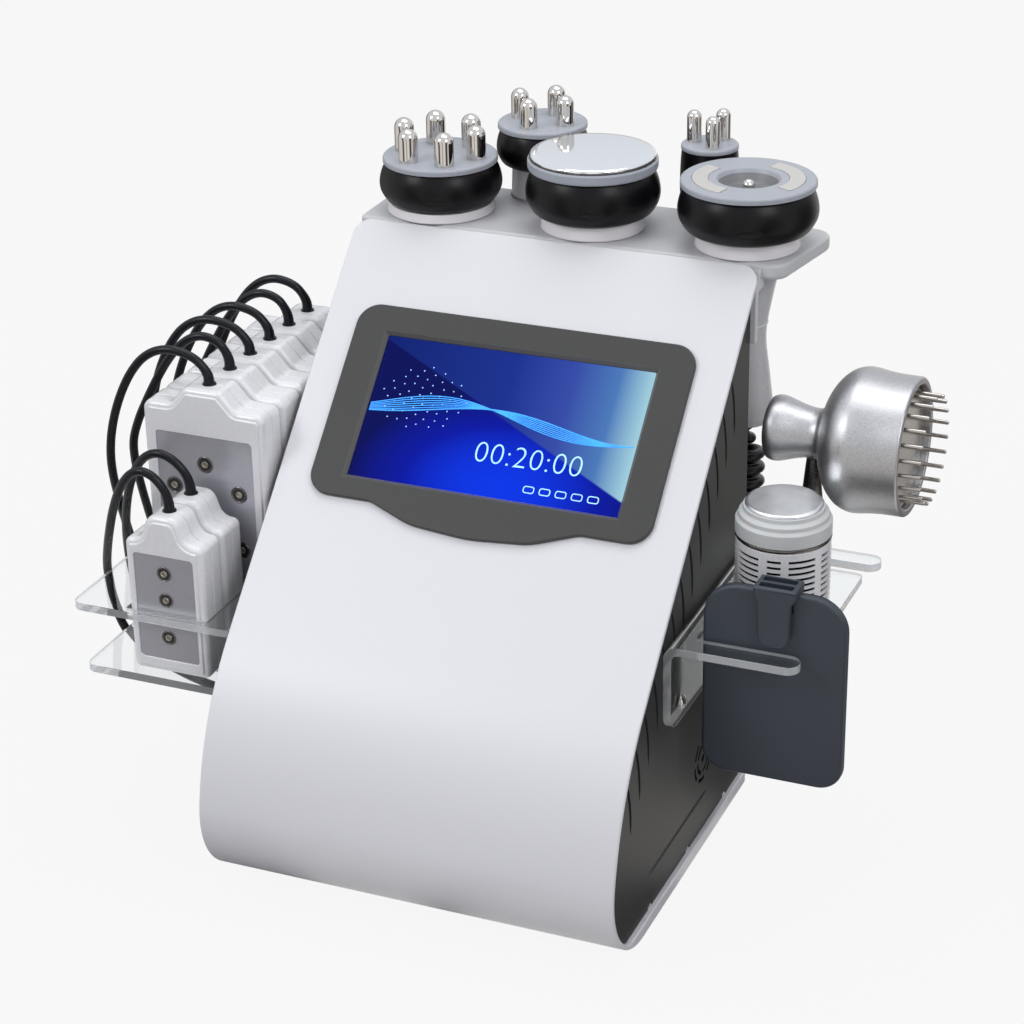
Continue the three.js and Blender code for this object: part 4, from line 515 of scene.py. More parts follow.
def make_cables():
    for (name, kind, y), gland, share in zip(PADS, GLANDS, LOOP_SHARES):
        route = ROUTES[kind]
        line = through(cable_points(route, y, gland, share), 5)
        radii = [CABLE_RADIUS + CABLE_SWELL * max(0, 1 - path_length(line[:i + 1]) / SWELL_LENGTH)
                 for i in range(len(line))]
        cable, path = make_tube(name + "_cable_black", line, radii, 24, name + "_cable")
        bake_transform(cable)
        boot = lathe(CABLE_RELIEF, 24, spot(-PANEL_X, gland, GLAND_Z, TO_SIDE[-1]))
        piece(name + "_cable_relief", boot, CORD)


# Curly cord of the vacuum head
VACUUM = (111, 159.5)
CURLS = 13
CURL_PITCH = 9.4
CURL_SPREAD = 10.6
CURL_TOP = 233.7
CURL_END = CURL_TOP - 16 - CURLS * CURL_PITCH
CURL_GLAND = CURL_END - 18
CURL_RADIUS = 3.3


def curly_points(per=16):
    x, y = VACUUM
    points = [(x, y, CURL_TOP), (x, y, CURL_TOP - 8)]
    total = CURLS * per
    for i in range(total + 1):
        opening = [(k + per / 8) / (per / 2) for k in (i, total - i)]
        round_spot = arc(x, y, CURL_SPREAD * min(1, *opening), 0, 360 * i / per, 1)[1]
        points.append((*round_spot, CURL_TOP - 12.8 - CURLS * CURL_PITCH * i / total))
    return points + [(x, y, CURL_END - 8), (x, y - 6, CURL_END - 14), (x, y - 14, CURL_GLAND),
                     (x, 135, CURL_GLAND), (x, 128, CURL_GLAND)]


def make_curly_cord():
    cord, path = make_tube("curly_cord_black", through(curly_points(), 2), CURL_RADIUS, 16, "curly_cord")
    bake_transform(cord)
    relief = [(0, 0), (6, 0), (5.6, 6), (3.9, 7.5), (3.4, 8), (0, 8)]
    piece("vacuum_cord_relief", lathe(relief, 32, spot(*VACUUM, CURL_TOP + GAP, DOWN)), CORD, "vacuum_head")


# White shell: one bent sheet, thicker along the base. Its side outline is drawn in (y, z).
HALF_WIDTH = 130
WALL = 3
BASE_WALL = 8
FOOT_HEIGHT = 2
SLOPE = math.radians(45)
NOSE_RADIUS = 166
NOSE = Vector((FRONT + NOSE_RADIUS, 32.5))
TOE_RADIUS = 50
TOE_Z = TOE_RADIUS + FOOT_HEIGHT
TOE = Vector((NOSE.x - math.sqrt((NOSE_RADIUS - TOE_RADIUS)**2 - (TOE_Z - NOSE.y)**2), TOE_Z))
MEET = math.degrees(math.atan2(TOE.y - NOSE.y, TOE.x - NOSE.x))
SLOPE_TURN = 135
START = NOSE + Vector((-math.cos(SLOPE), math.sin(SLOPE))) * NOSE_RADIUS
TRAY_TOP = 346
TOP = START + Vector((1, 1)) * (TRAY_TOP - START.y)
TOP_CORNER = 11
SLOPE_FRAME = spot(0, TOP.x, TOP.y, Matrix.Rotation(SLOPE, 4, "X"))
REAR = 118.7
FLOOR = 10


def slope_z(y, inset=0):
    return START.y + (y - START.x) - inset / math.cos(SLOPE)


def shell_rows():
    """(outer point, inward normal, thickness, half width, edge inset) along the sheet's side outline."""
    rows = [(Vector((y, FOOT_HEIGHT)), Vector((0, 1)), BASE_WALL, HALF_WIDTH, 0)
            for y in (REAR, REAR - 1, 60, 0, -60, TOE.x)]
    for out in arc(0, 0, 1, 270, MEET, 24)[1:]:
        thick = TOE_RADIUS - min(TOE_RADIUS - WALL, (TOE_RADIUS - BASE_WALL) / max(abs(out.y), 1e-3))
        rows.append((TOE + out * TOE_RADIUS, -out, thick, HALF_WIDTH, 0))
    for out in arc(0, 0, 1, MEET, SLOPE_TURN, 24)[1:]:
        rows.append((NOSE + out * NOSE_RADIUS, -out, WALL, HALF_WIDTH, 0))
    inward = Vector((math.sin(SLOPE), -math.cos(SLOPE)))
    length = (TOP - START).length
    reaches = [length * k / 12 for k in range(11, 0, -1) if length * k / 12 > TOP_CORNER + 0.5]
    reaches += [TOP_CORNER * (1 - math.cos(math.radians(a))) for a in range(90, 8, -6)]
    for reach in reaches + [0.4, 0.15, 0.0]:
        drop = max(0, TOP_CORNER - reach)
        width = HALF_WIDTH - TOP_CORNER + math.sqrt(max(0, TOP_CORNER**2 - drop**2))
        edge = 1 - math.sqrt(max(0, 1 - (1 - min(reach, 1)) ** 2))
        rows.append((TOP - Vector((1, 1)).normalized() * reach, inward, WALL, width, edge))
    return rows


def make_shell():
    verts, loops = [], []
    corner_points = 14
    for outer, inward, thick, half, inset in shell_rows():
        for radius in (min(1.1, (thick - 2 * inset) / 2.2), 0.3):
            loop = facing(rectangle(-half, inset, half, thick - inset, radius))
            if len(loop) == 4 * corner_points:
                break
        loops.append(list(range(len(verts), len(verts) + len(loop))))
        for p in loop:
            place = outer + inward * p.y
            verts.append(Vector((p.x, place.x, place.y)))
    faces = bridge(loops) + [tuple(loops[0]), tuple(loops[-1])]
    piece("shell", (verts, faces), WHITE, nodes=["front_shell"])
    foot = lathe([(0, 0), (8.2, 0), (9, 0.8), (9, 2.2), (0, 2.2)], 40)
    feet = [placed(foot, spot(x, y)) for x in (-106, 106) for y in (-64, 94.7)]
    piece("rubber_feet", merged(*feet), PLASTIC)


# Side panels with their crescent vents
VENTS = 13
VENT_PITCH = 20.4
VENT_TOP_Y = 85
VENT_DEPTH = 15
VENT_LENGTH = 38
VENT_LEAN = 7
VENT_BOW = 2.5
VENT_WIDTH = 2.9
SPEAKER = (44, 60)


def vent(index):
    top_y = VENT_TOP_Y - index * VENT_PITCH * math.cos(SLOPE)
    top_z = slope_z(top_y) - VENT_DEPTH
    near, far = [], []
    for i in range(25):
        t = i / 24
        wide = VENT_WIDTH * min(1, 4 * (t + 0.06), 4.5 * (1.03 - t)) / 2
        y = top_y + VENT_LEAN * t + VENT_BOW * 4 * t * (1 - t)
        near.append(Vector((y - wide, top_z - VENT_LENGTH * t)))
        far.append(Vector((y + wide, top_z - VENT_LENGTH * t)))
    return near + far[::-1]


def panel_outline():
    inset = WALL + GAP
    reach = TOE_RADIUS - inset
    foot = FLOOR + GAP
    drop = TOE.y - foot
    tip = 270 - math.degrees(math.acos(drop / reach))
    return ([Vector((REAR, foot)), Vector((TOE.x - math.sqrt(reach**2 - drop**2), foot))]
            + arc(*TOE, reach, tip, MEET, 20)[1:] + arc(*NOSE, NOSE_RADIUS - inset, MEET, SLOPE_TURN, 24)[1:]
            + [Vector((REAR, slope_z(REAR, inset)))])


def speaker_holes():
    holes = []
    for radius, parts in ((15.5, 6), (10.3, 4)):
        for i in range(parts):
            start = 360 * i / parts
            holes.append(sector(*SPEAKER, radius - 2.6, radius, start, start + 360 / parts - 18))
    return holes + [ring(*SPEAKER, 2.6, 24)]


def make_side(name, hand):
    side = panel_outline()
    holes = [vent(i) for i in range(VENTS)] + (speaker_holes() if hand > 0 else [])
    outer = hand * PANEL_X
    x0, x1 = sorted((outer, outer - hand * 2.5))
    panel = shape(name, slab(side, x0, x1, 0.5, holes=holes, along="X", hole_edge=0.3))
    combine(panel, merged(*[cube(x0 - 2, x1 + 2, y, y + 7, 5, 12.8) for y in (-52, 14, 82)]))
    crease = [Vector((outer + hand * 0.9, -57 + 114 * i / 20, 34)) for i in range(21)]
    widths = [1.9 * min(1, 0.3 + i / 3, 0.3 + (20 - i) / 3) for i in range(21)]
    combine(panel, tube(crease, widths, 16))
    dress(panel, PANEL, nodes=[name.replace("_face", "_panel")])
    # A near-black sheet just behind the vents: painted shade for the dark inside of the shell.
    shade_sheet = slab(shifted(facing(side), 5), *sorted((hand * 123.9, hand * 123.3)), along="X")
    piece(name + "_shade_sheet", shade_sheet, SHADE_BLACK)
    clip = [(0, 0), (1.5, 0), (1.7, 0.5), (1.2, 1), (0, 1.1)]
    clips = [lathe(clip, 20, spot(hand * 126, y, 11.6, TO_SIDE[hand])) for y in (-48, 18, 86)]
    piece(name + "_clips", merged(*clips), STEEL)


def make_cable_glands():
    nut = [(0, 0), (5, 0), (5, 5), (4.4, 6), (3.3, 6), (3.3, 5), (0, 5)]
    glands = [lathe(nut, 6, spot(-PANEL_X, y, GLAND_Z, TO_SIDE[-1])) for y in GLANDS]
    piece("cable_glands", merged(*glands), PLASTIC)


# Screen bezel and display, drawn in the slope's own plane
WINDOW_X, WINDOW_Y = 85.5, 45.75
WINDOW_MIDDLE = -120.75
GLASS_Z = 1


def window_corners(reach, z):
    """The display window's corners, moved outwards by reach."""
    return [SLOPE_FRAME @ Vector((x * (WINDOW_X + reach), WINDOW_MIDDLE + y * (WINDOW_Y + reach), z))
            for x, y in ((-1, -1), (1, -1), (1, 1), (-1, 1))]


def window(reach, radius=0):
    x, y = WINDOW_X + reach, WINDOW_Y + reach
    return rectangle(-x, WINDOW_MIDDLE - y, x, WINDOW_MIDDLE + y, radius)


def screen_material():
    """Deep blue picture with a paler wedge, which is brightest at the right end."""
    mat, tree, shader = material("screen_glass")
    split = tree.nodes.new("ShaderNodeSeparateXYZ")
    feed(tree, split, {"Vector": add(tree, "TexCoord", {}, "Object")})
    centre = SLOPE_FRAME @ Vector((0, WINDOW_MIDDLE, 0)) * MM + SHIFT
    x = calc(tree, "DIVIDE", calc(tree, "SUBTRACT", split.outputs["X"], centre.x), 0.0855)
    z = calc(tree, "DIVIDE", calc(tree, "SUBTRACT", split.outputs["Z"], centre.z), 0.0323)
    across = calc(tree, "POWER", calc(tree, "MULTIPLY", calc(tree, "SUBTRACT", x, 0.12), 0.9), 2)
    upward = calc(tree, "POWER", calc(tree, "MULTIPLY", calc(tree, "ADD", z, 0.85), 0.75), 2)
    deep = ramp(tree, calc(tree, "ADD", across, upward), (0, (0, 0.035, 0.8)), (0.4, (0, 0.006, 0.36)),
                (1, (0.0005, 0.002, 0.095)))
    pale = ramp(tree, calc(tree, "MULTIPLY_ADD", x, 0.5, 0.5), (0, (0.002, 0.012, 0.16)),
                (0.5, (0.008, 0.028, 0.27)), (0.72, (0.035, 0.07, 0.38)), (0.88, (0.07, 0.19, 0.48)),
                (1, (0.36, 0.62, 0.72)))
    wedge = remap(tree, calc(tree, "ADD", x, calc(tree, "MULTIPLY", z, 1.15)), 0.10, 0.13)
    feed(tree, shader, {
        "Emission Color": mixed_color(tree, wedge, deep, pale), "Emission Strength": 1,
        "Base Color": (0.002, 0.003, 0.01, 1), "Specular IOR Level": 0.06,
        "Roughness": calc(tree, "MULTIPLY_ADD", grain(tree, 40), 0.04, 0.05)})
    return mat


def glow_material(name, color, strength):
    mat, tree, shader = material(name)
    tint = ramp(tree, grain(tree, 120), (0, [c * 0.6 for c in color]), (1, color))
    feed(tree, shader, {"Emission Color": tint, "Base Color": tint, "Emission Strength": strength,
                        "Roughness": 0.3})
    return mat


def make_bezel():
    half, top, foot = 108, -56.5, -181
    lip = [(-66, foot, 10), (-38, -191.3, 46), (0, -194.5, 110), (38, -191.3, 46), (66, foot, 10)]
    rim = outline([(-half, top, 14), (-half, foot, 14), *lip, (half, foot, 14), (half, top, 14)], step=2.5)
    bezel = shape("bezel", slab(rim, GAP, 3.2, 0.9, 0, [window(0)], hole_edge=0.01, place=SLOPE_FRAME))
    low_z, high_z = 0.4, 4.2
    grow = 2.2 * (high_z - low_z) / (3.2 - low_z)
    rows = numbered(0, 4, 4)
    flare = window_corners(-0.1, low_z) + window_corners(grow - 0.1, high_z)
    combine(bezel, (flare, [(3, 2, 1, 0), (4, 5, 6, 7)] + bridge(rows[:2])))
    dress(bezel, BEZEL, nodes=["screen_bezel"])
    steps = ((0.1, 0.95), (1.95, 3.2), (2.4, 3.1), (0.6, 0.8))
    lining = [v for reach, z in steps for v in window_corners(reach, z)]
    piece("display_lining", (lining, bridge(rows + rows[:1])), TRIM, angle=20)
    glass = slab(window(-0.3, 0.4), -2, GLASS_Z, 0.15, place=SLOPE_FRAME)
    piece("display_glass", glass, screen_material(), nodes=["display_module"])
    piece("display_back", slab(rectangle(-93, -174, 93, -67), -12, -3.4, 0.5, place=SLOPE_FRAME), DARK)


def digits(text, x, y, size):
    """Raised numerals on the display."""
    curve = bpy.data.curves.new("numerals", "FONT")
    curve.body = text
    curve.size = size
    curve.space_character = 1.05
    curve.resolution_u = 5
    curve.extrude = 0.06
    curve.offset = -0.38
    thing = link(bpy.data.objects.new("numerals", curve))
    mesh = thing.evaluated_get(bpy.context.evaluated_depsgraph_get()).to_mesh()
    part = [v.co.copy() for v in mesh.vertices], [tuple(face.vertices) for face in mesh.polygons]
    bpy.data.objects.remove(thing)
    bpy.data.curves.remove(curve)
    return placed(part, SLOPE_FRAME @ spot(x, y, GLASS_Z + 0.05))


def wave(line, count=7):
    """One of the fine lines that swell and cross as they run over the display."""
    points = []
    level = (line - count // 2) / (count // 2)
    for i in range(81):
        t = i / 80
        swell = 7.5 * math.sin(math.pi * (0.15 + 0.85 * t)) ** 1.5
        y = -118 + 6 * math.sin(2 * math.pi * (t * 0.95 - 0.1)) + level * swell * math.cos(math.pi * t * 1.1)
        points.append(SLOPE_FRAME @ Vector((-84 + 168 * t, y, GLASS_Z)))
    return tube(points, 0.3 if line else 0.42, 6)


def make_picture():
    dots, keys = [], []
    golden_turn = 2.39996
    for i in range(56):
        r = 3.1 * math.sqrt(i)
        x = -52 + 1.2 * r * math.cos(i * golden_turn)
        y = -112 + 0.9 * r * math.sin(i * golden_turn)
        if -84 < x < 84:
            dots.append(lathe([(0, 0), (0.45, 0), (0.35, 0.12), (0, 0.14)], 10,
                              SLOPE_FRAME @ spot(x, y, GLASS_Z + 0.02)))
    for x in range(25, 75, 10):
        outer = rectangle(x, -160.5, x + 7, -156, 1.6)
        inner = rectangle(x + 0.6, -159.9, x + 6.4, -156.6, 1.1)
        keys.append(slab(outer, 0.98, 1.12, holes=[inner], place=SLOPE_FRAME))
    keys.append(digits("00:20:00", -11, -146, 19))
    for name, parts, look in (
            ("screen_waves", [wave(line) for line in range(7)], ("screen_light", (0.05, 0.36, 1.0), 0.9)),
            ("screen_dots", dots, ("screen_dot_light", (0.3, 0.55, 0.95), 1.0)),
            ("screen_keys", keys, ("screen_key_light", (0.36, 0.68, 0.92), 0.9))):
        piece(name, merged(*parts), glow_material(*look))


# Hand-held heads. Heights are above the tray; grip is its radius at the top, the waist and the foot.
LARGE_GRIP = (20, 12.6, 18)
HEADS = {
    "six_pin": dict(x=-88, y=159.5, seat=28.5, ring=33.5, ring_top=6, bowl=38, bowl_top=31, face=35.6,
                    face_top=35, grip=LARGE_GRIP),
    "cavitation": dict(x=12.5, y=160, seat=28.5, ring=32, ring_top=9, bowl=41, bowl_top=37.5, face=39.6,
                       face_top=44, grip=LARGE_GRIP),
    "vacuum": dict(x=VACUUM[0], y=VACUUM[1], seat=28.5, ring=31.5, ring_top=9.5, bowl=42, bowl_top=37.5,
                   face=40.6, face_top=41.5, grip=LARGE_GRIP),
    "four_pin": dict(x=-39.5, y=208, seat=20, ring=20, ring_top=20, bowl=29, bowl_top=43, face=28,
                     face_top=47, grip=(15, 11, 15)),
    "three_pin": dict(x=71, y=206, seat=15, ring=15, ring_top=10, bowl=18, bowl_top=41.5, face=17.6,
                      face_top=45, grip=(11, 8.6, 10.6)),
}
# Number of pins, radius of their circle, their own radius and height, and the first one's angle
PINS = {"six_pin": (6, 24, 6.1, 20.5, 0), "four_pin": (4, 16.5, 5.6, 18.5, -10),
        "three_pin": (3, 10.3, 4.5, 19.5, -62)}
BOWL = [(0.8, 0), (0.885, 0.07), (0.94, 0.18), (0.985, 0.32), (1, 0.46), (0.992, 0.6), (0.965, 0.76),
        (0.925, 0.9), (0.885, 1)]
BARREL = [(0.9, 0), (0.97, 0.05), (1, 0.14), (1, 0.5), (0.98, 0.8), (0.95, 1)]


def head_place(name):
    return spot(HEADS[name]["x"], HEADS[name]["y"], TRAY_TOP)


def start_head(name, shares=BOWL, dimples=True, recess=()):
    """Makes a head's handle and bowl; returns its place, its body and its face's radius, foot and top."""
    make_handle(name)
    make_bowl(name, shares, dimples, recess)
    head = HEADS[name]
    return head_place(name), name + "_head", head["face"], head["bowl_top"] + 0.2, head["face_top"]


def seat_profile(seat):
    """Hole and rebate that a head's handle stands in, with a rounded rim."""
    narrow = min(4, seat / 5)
    edge = 0.9
    wall = seat + GAP
    rim = [(wall + inset, TRAY_TOP - depth) for inset, depth in reversed(edge_levels(edge, 5))]
    step = TRAY_TOP - 6
    return [(0, TRAY_TOP - 14), (seat - narrow, TRAY_TOP - 14), (seat - narrow, step), (wall, step), *rim,
            (wall + edge, TRAY_TOP + 3), (0, TRAY_TOP + 3)]


def make_tray():
    plan = outline([(-130, 129.2, 4), (142, 129.2, 12), (154, 200, 12), (100, 209.5, 36), (-100, 209.5, 36),
                    (-130, 200, 6)])
    tray = shape("tray", slab(plan, TRAY_TOP - 10, TRAY_TOP, 2.4, 3.4, steps=6))
    for head in HEADS.values():
        profile = seat_profile(head["seat"])
        place = spot(head["x"], head["y"])
        combine(tray, lathe(profile, 128, place))
        if head["seat"] < 25:
            walls = profile[1:-1]
            notch = [Vector((-r, z)) for r, z in reversed(walls)] + [Vector((r, z)) for r, z in walls]
            combine(tray, slab(notch, 0, 40, place=place @ UPRIGHT))
    side = outline([(119, 300), (124, 300, 0.8), (124, 331, 1), (134.2, 331, 1), (134.2, 337), (129.4, 337),
                    (128.8, slope_z(128.8, WALL) - 1), (119, slope_z(119, WALL) - 1)])
    dress(tray, TRAY, nodes=["top_tray"])
    piece("tray_flange", slab(side, -127, 129.9, 0.4, along="X"), TRAY)


def make_handle(name):
    head = HEADS[name]
    place = head_place(name)
    body = name + "_head"
    seat = head["seat"]
    top, waist, foot = head["grip"]
    length, neck = 112, 102

    def rise(share):
        return neck * share - length

    curve = through([(radius, rise(share)) for radius, share in (
        (foot * 0.97, 0.012), (foot, 0.05), (foot * 0.97, 0.12), ((foot + waist) / 2, 0.3), (waist, 0.55),
        ((waist + top) / 2, 0.8), (top, 0.97))], 6)
    collar = min(top, seat - min(4, seat / 5) - GAP)
    profile = [(0, -length), (foot * 0.9, -length), *curve, (collar, neck - length), (collar, -5.7),
               (seat - GAP, -5.7), (seat - GAP, GAP), (0, GAP)]
    piece(name + "_grip", lathe(profile, 96, place), GRIP, body, [name + "_handle"])
    flare = [(0, GAP, 0), (head["ring"] - 0.6, GAP, 0), (head["ring"], GAP + 0.7, 0.4),
             (head["ring"] * 0.965, head["ring_top"], 0.5), (0, head["ring_top"], 0)]
    turned(name + "_ring", flare, place, RING, body)
    bands = []
    for share in (0.34, 0.62):
        z = rise(share)
        r = next((p.x for p in curve if p.y >= z), waist) + 0.1
        out, up = r + 0.15, z + 0.8
        band = [(r - 1, z), (out, z), (r + 0.3, z + 0.4), (out, up), (r - 1, up), (r - 1, z)]
        bands.append(lathe(band, 96, place))
    piece(name + "_grip_bands", merged(*bands), GLOSS, body)


def dimple(bowl, middle, count=3):
    """Depth of the finger dimples round a bowl, as a function of angle and height."""
    def dent(angle, height):
        deepest = 0
        for i in range(count):
            centre = 2 * math.pi * i / count - math.pi / 2 + math.pi / 9
            turn = (angle - centre + math.pi) % (2 * math.pi) - math.pi
            u = turn * bowl / 7.6
            if abs(u) >= 1:
                continue
            v = (height - middle) / max(2.9 * (1 - u * u), 0.01)
            if abs(v) < 1:
                deepest = max(deepest, 1.5 * (1 - v * v) ** 1.2 * (1 - u * u) ** 0.5)
        return deepest
    return dent


def make_bowl(name, shares, dimples, recess=()):
    head = HEADS[name]
    bottom = head["ring_top"] + GAP
    height = head["bowl_top"] - bottom
    curve = through([(r * head["bowl"], bottom + h * height) for r, h in shares], 8)
    profile = [(0, bottom), *curve, (curve[-1].x - 1.5, head["bowl_top"] + 0.1), *recess]
    profile.append((0, profile[-1][1]))
    middle = head["ring_top"] + (head["bowl_top"] - head["ring_top"]) * 0.4
    bowl = lathe(profile, 192, head_place(name), dimple(head["bowl"], middle) if dimples else None)
    piece(name + "_rubber", bowl, RUBBER, name + "_head", [name + "_bowl"])


def pin_head(name, shares=BOWL, dimples=True):
    place, body, rim, foot, top = start_head(name, shares, dimples)
    face = [(0, foot, 0), (rim, foot, 0.5), (rim, top - 0.2, 1.6), (rim - 2, top, 1.2), (0, top, 0)]
    turned(name + "_plate", face, place, FROST, body, [name + "_face"])
    count, spread, radius, height, turn = PINS[name]
    pin = [(0, top - 2), (radius, top - 2)] + arc(0, top + height - radius, radius, 0, 90, 10)
    pins = around(lathe(pin, 40), count, spread, turn)
    piece(name + "_pins", placed(pins, place), STEEL, body, [name + "_electrodes"])


def cavitation_head():
    place, body, face, foot, top = start_head("cavitation")
    collar = [(0, foot, 0), (face - 0.5, foot, 0.4), (face, foot + 1.2, 1), (face, top - 1, 0.9),
              (face - 0.9, top, 0.6), (0, top, 0)]
    turned("cavitation_frost", collar, place, FROST, body, ["cavitation_collar"])
    disc = [(0, 0.2), (36.9, 0.2), (38.1, 0.7), (38.4, 1.5), (38.2, 2.2), (37.5, 2.8), (36.4, 3.15),
            (34, 3.28), (0, 3.3)]
    # A dark metal ring under the disc's rim: painted reflection, the dark line that the polished rim shows.
    lip = [(37.0, 0.05), (38.3, 0.05), (38.6, 0.5), (38.5, 0.9), (37.0, 0.9), (37.0, 0.05)]
    disc, lip = [lathe(profile, 160, place @ spot(z=top)) for profile in (disc, lip)]
    piece("cavitation_steel", disc, MIRROR, body, ["cavitation_disc"], angle=50)
    piece("cavitation_rim_shade", lip, DARK, body)


def vacuum_head():
    place, body, rim, foot, top = start_head("vacuum", recess=[(21.5, 37.6), (21.5, 30)])
    cup = rounded_profile([(0, foot - 6.2, 0), (20, foot - 6.2, 0), (20, foot, 0), (rim, foot, 0.4),
                           (rim, top, 1.6), (19.2, top, 1.4), (14.8, top - 8, 2.5), (0, top - 8, 0)])
    face = shape("vacuum_plate", lathe(cup, 160, place))
    slots, pads = [], []
    for turn in (205, 25):
        bed = sector(0, 0, 23.7, 33.8, turn - 53, turn + 53, 30)
        pad = sector(0, 0, 24, 33.5, turn - 52, turn + 52, 30)
        slots.append(slab(bed, top - 0.6, top + 2, place=place))
        pads.append(slab(pad, top - 1.5, top + 0.4, 0.35, place=place))
    combine(face, merged(*slots))
    dress(face, FROST, body, ["vacuum_face"])
    piece("vacuum_crescents", merged(*pads), CRESCENT, body, ["vacuum_electrodes"])
    # A darker lining inside the cup: painted shade in the hollow of the cup.
    hollow = [(0, top - 7.8, 0), (14.3, top - 7.8, 2.4), (18.5, top - 1.5, 0), (18.9, top - 1.5, 0),
              (15.2, top - 8.4, 1), (0, top - 8.4, 0)]
    turned("vacuum_cup_shade_lining", hollow, place, CUP_SHADE, body, count=96)
    radius = 3.8
    ball = arc(0, top - 4.6, radius, -90, 90, 16)
    piece("vacuum_ball", lathe(ball, 40, place), STEEL, body)


# Screws
def screw(x, y, z, turn, radius=4.0):
    """Cross-head screw whose head faces away from the body."""
    place = spot(x, y, z, turn)
    head = [(0, 0), (radius, 0), (radius, 0.7), (radius * 0.8, 1.6), (radius * 0.4, 2.1), (0, 2.2)]
    thing = shape("screw_at_%d_%d_%d" % (round(x), round(y), round(z)), lathe(head, 40, place))
    arm, slit, depth = radius * 0.55, 0.5, 1.2
    for w, d in ((arm, slit), (slit, arm)):
        combine(thing, placed(cube(-w, w, -d, d, depth, 4), place))
    dress(thing, STEEL)


# Clear pad rack on the left
SHEET = 5
MOUNT_X = 127.3


def paint_edge_light(thing, on_wall):
    """Gives the cut edges of a clear sheet a pale, partly see-through look, a painted highlight for the light
    the edges catch; on_wall tells the upright part's places.
    """
    thing.data.materials.append(EDGE_LIGHT)
    for face in thing.data.polygons:
        middle = (face.center - SHIFT) / MM
        flat = face.normal.x if on_wall(middle) else face.normal.z
        if abs(flat) < 0.6:
            face.material_index = 1


def make_rack():
    wall = -MOUNT_X - SHEET
    rack = shape("rack", cube(wall, -MOUNT_X, -48, 158, 106, 152, 0.35))
    holes = []
    for first, last, width in ((-47.5, -21.3, 52), (9.5, 140.5, 82)):
        right = min(PAD_X + width / 2 + 1, wall - 0.3)
        holes.append(rectangle(PAD_X - width / 2 - 1, first - 13.5, right, last + 13.5, 1.2))
    for left, top_z, cut in ((-238, 152, holes), (-232, 111, [])):
        plan = outline([(left, -66, 7), (wall + 1, -66, 0.3), (wall + 1, 158, 0.3), (left, 158, 7)])
        combine(rack, slab(plan, top_z - SHEET, top_z, 0.35, holes=cut), "UNION")
    dress(rack, ACRYLIC, nodes=["pad_rack"])
    paint_edge_light(rack, lambda place: place.x > wall - 0.2)
    for y in (-40, -24):
        screw(wall, y, 131.5, TO_SIDE[-1])


# Light pads. Windows give the plate's margin at the sides, the foot and the shoulder.
PAD_FOOT = 111.3
PAD_SIZES = {
    "large": dict(width=82, shoulder=150.5, neck=162, neck_width=24, step_width=44, corner=6, diode=5.4),
    "small": dict(width=52, shoulder=87, neck=103.5, neck_width=19, step_width=31, corner=4.5, diode=4.8),
}
DIODES = {"large": [(0, 114), (-22, 97.5), (22, 97.5), (-22, 60.5), (22, 60.5), (-22, 24), (22, 24), (0, 42)],
          "small": [(0, 67), (0, 49.5), (0, 24.5)]}
WINDOWS = {"large": (8.5, 10, 18), "small": (6, 9.5, 8.5)}
DIODE_LENS = [(0, 0.05), (3.9, 0.05), (3.7, 0.35), (2.9, 0.5), (2.5, 0.3), (0, 0.3)]
DIODE_HEART = [(0, 0.25), (2.3, 0.25), (2.1, 0.6), (1.3, 0.8), (1.1, 0.55), (0, 0.55)]
GROMMET = [(0, 0), (4.4, 0), (4.1, 0.7), (3.3, 1.0), (0, 1.0)]


def pad_outline(size):
    shoulder, neck, corner = size["shoulder"], size["neck"], size["corner"]
    bend = (neck - shoulder) / 2
    right = [(0, size["width"] / 2, corner), (shoulder, size["width"] / 2, corner),
             (shoulder, size["step_width"] / 2, bend * 0.97), (neck, size["neck_width"] / 2, bend)]
    left = [(z, -x, radius) for z, x, radius in right]
    return facing(outline(left + right[::-1], step=10))


def make_pad(name, kind, y):
    size = PAD_SIZES[kind]
    place = spot(PAD_X, y, PAD_FOOT)
    body = name + "_body"
    loop = pad_outline(size)
    margin, under, over = WINDOWS[kind]
    half = size["width"] / 2 - margin
    opening = rectangle(under, -half, size["shoulder"] - over, half, 2.5)
    back = slab(loop, 0.2, 12.5, 3.4, 0.5, along="Y", place=place, steps=5)
    front = slab(loop, -11.4, -0.2, 0.5, 3.4, along="Y", place=place, steps=5)
    cover = slab(shifted(loop, 3.4), -12.5, -9, 0.1, 1.0, [opening], "Y", 0.5, place=place)
    piece(name + "_case", merged(back, front, cover), GLOSS, body, [name])
    plate = slab(shifted(facing(opening), 0.2), -11.8, -10, along="Y", place=place)
    piece(name + "_plate", plate, PLATE, body)
    spots = [place @ spot(x, -11.8, z, TO_FRONT) for x, z in DIODES[kind]]
    rim = size["diode"]
    bushing = [(0, -0.5), (rim, -0.5), (rim, 0.3), (rim - 0.5, 0.6), (rim - 1.0, 0.3), (rim - 1.1, 0.1),
               (0, 0.1)]
    for part, profile, count, look in (("rings", bushing, 32, DARK), ("lenses", DIODE_LENS, 28, PLASTIC),
                                       ("hearts", DIODE_HEART, 24, AMBER)):
        diodes = merged(*[lathe(profile, count, where) for where in spots])
        piece(name + "_diode_" + part, diodes, look, body)
    piece(name + "_grommet", lathe(GROMMET, 32, place @ spot(z=size["neck"] - 0.1)), CORD, body)


# Clear tool holder on the right: plate and shelf bent from one sheet
TOOL_PLACE = (173.6, 43)
SHELF_TOP = 173


